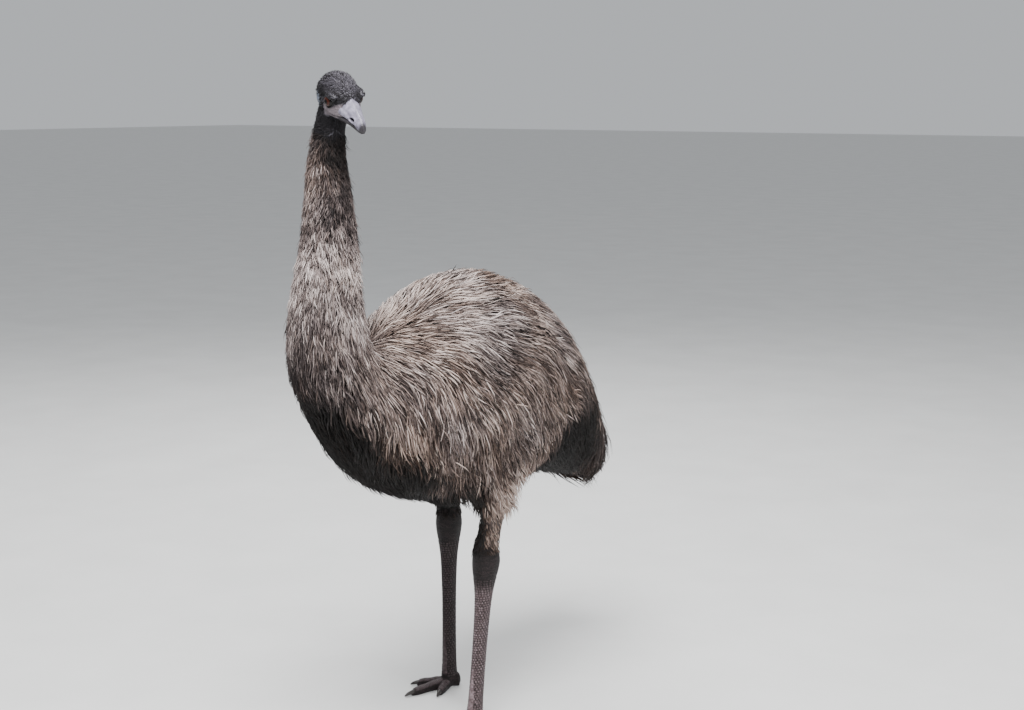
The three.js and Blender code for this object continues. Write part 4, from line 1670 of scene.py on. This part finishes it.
def finish_skin(skin, surface):
    points, normals = surface.points, normals_of(skin)
    local = head_local(points)
    on_face = on_head(points)
    attribute(skin, "tone", np.clip(coat_tone(points, normals), 0, 1))
    attribute(skin, "bare", bare_cheek(local) * on_face)
    on_side = smooth(14, 26, np.abs(local[:, 1])) * on_face
    attribute(skin, "lid", smooth(18.0, 15.0, to_lids(local)) * on_side)
    attribute(skin, "gape", bare_gape(local) * on_face)
    # a dark line in the groove of the mouth: painted shade in the crease
    lips = bump(local[:, 2] - gape_up(local[:, 0]), 0, 1.3) * smooth(-18, -10, local[:, 0])
    attribute(skin, "lips", 0.85 * lips * on_side)
    attribute(skin, "leg_shade_and_dark_hocks", leg_shade_and_dark_hocks(points))
    skin.data.materials.clear()
    for material in (under_material(), face_material(), leg_material()):
        skin.data.materials.append(material)
    middles = read(skin.data.polygons, "center")
    index = np.zeros(len(middles), np.int32)
    index[on_head(middles) > 0.5] = 1
    index[middles[:, 2] < hock_height(middles) + 0.045] = 2
    skin.data.polygons.foreach_set("material_index", index)
    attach(skin, "root")
    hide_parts(*BODY_NODES, *LEG_NODES)


def build_bird():
    skin = make_skin()
    surface = Surface(skin)
    finish_skin(skin, surface)
    locks = coat_material()
    trunk_coat(surface, locks)
    neck_coat(surface, locks)
    thigh_coat(surface, locks)
    head_coat(surface, bristle_material())
    upper_look = bill_material("bill_upper_horn", (srgb(106, 102, 118), srgb(152, 148, 166)))
    lower_look = bill_material("bill_lower_horn", (srgb(52, 48, 53), srgb(88, 82, 90)))
    upper = bill_piece("upper_bill", UPPER_BILL, 0.25, (1.75, 2.6), True)
    finish_piece(upper, upper_look, "bill", "bill_upper")
    lower = bill_piece("lower_bill", LOWER_BILL, 0.8, (2.6, 2.0), False)
    finish_piece(lower, lower_look, "bill", "bill_lower")
    eye_look = eye_material()
    claw_look = claw_material()
    plate_look = plate_material()
    for side, centre, sign in (("left", EYE_LEFT, 1), ("right", EYE_RIGHT, -1)):
        eye = eye_piece(f"eyeball_{side}", centre, sign)
        finish_piece(eye, eye_look, "eye", f"eye_{side}")
        for name, toe in TOES.items():
            claw = claw_piece(f"claw_horn_{name}_{side}", side, toe)
            finish_piece(claw, claw_look, "claw", f"claw_{name}_{side}")
        for name, parts in (
            ("leg_plates", leg_plates(side)),
            ("net_scales", net_scales(side)),
            ("heel_scales", heel_teeth(side)),
        ):
            piece = joined(f"{name}_{side}", parts)
            attribute(piece, "leg_shade_and_dark_hocks", leg_shade_and_dark_hocks(points_of(piece)))
            finish_piece(piece, plate_look, "scales")


# stage

def make_floor():
    size = 60.0
    points = [(-size, -size, 0), (size, -size, 0), (size, size, 0), (-size, size, 0)]
    floor = new_object("floor", points, [(0, 1, 2, 3)])
    g = Graph("floor_paint")
    color = g.ramp(g.noise(3, 4), ((0.3, (0.66, 0.66, 0.65)), (0.7, (0.71, 0.71, 0.70))))
    floor.data.materials.append(g.finish(color, 0.9))


def aimed(thing, place, direction):
    thing.location = place
    thing.rotation_euler = direction.to_track_quat("-Z", "Y").to_euler()


def area_light(name, place, target, size, power):
    light = bpy.data.lights.new(name, "AREA")
    light.shape = "DISK"
    light.size = size
    light.energy = power
    aimed(placed(name, light), place, Vector(target) - Vector(place))


def make_lights():
    middle = (0.0, 0.0, 0.95)
    area_light("key", (1.2, -2.2, 5.0), middle, 3.0, 580)
    area_light("fill", (4.2, 0.4, 2.6), middle, 3.2, 70)
    area_light("back", (-2.4, 2.6, 4.4), middle, 2.6, 190)
    world = bpy.data.worlds.new("studio")
    world.use_nodes = True
    sky = world.node_tree.nodes["Background"]
    sky.inputs["Color"].default_value = (0.88, 0.91, 0.95, 1)
    sky.inputs["Strength"].default_value = 0.60
    bpy.context.scene.world = world


def make_camera():
    lens = bpy.data.cameras.new("photo_view")
    lens.lens = CAMERA_LENS
    lens.sensor_width = 36.0
    view = placed("photo_view", lens)
    turn = math.radians(CAMERA_AZIMUTH)
    swing = math.radians(CAMERA_SWING)
    ahead = Vector((-math.sin(turn), math.cos(turn), 0))
    right = Vector((math.cos(turn), math.sin(turn), 0))
    level = ahead * math.cos(swing) - right * math.sin(swing)
    pitch = math.radians(CAMERA_PITCH)
    aim = level * math.cos(pitch) - Vector((0, 0, 1)) * math.sin(pitch)
    aimed(view, CAMERA_PLACE, aim)
    bpy.context.scene.camera = view


make_camera()
build_bird()
make_floor()
make_lights()
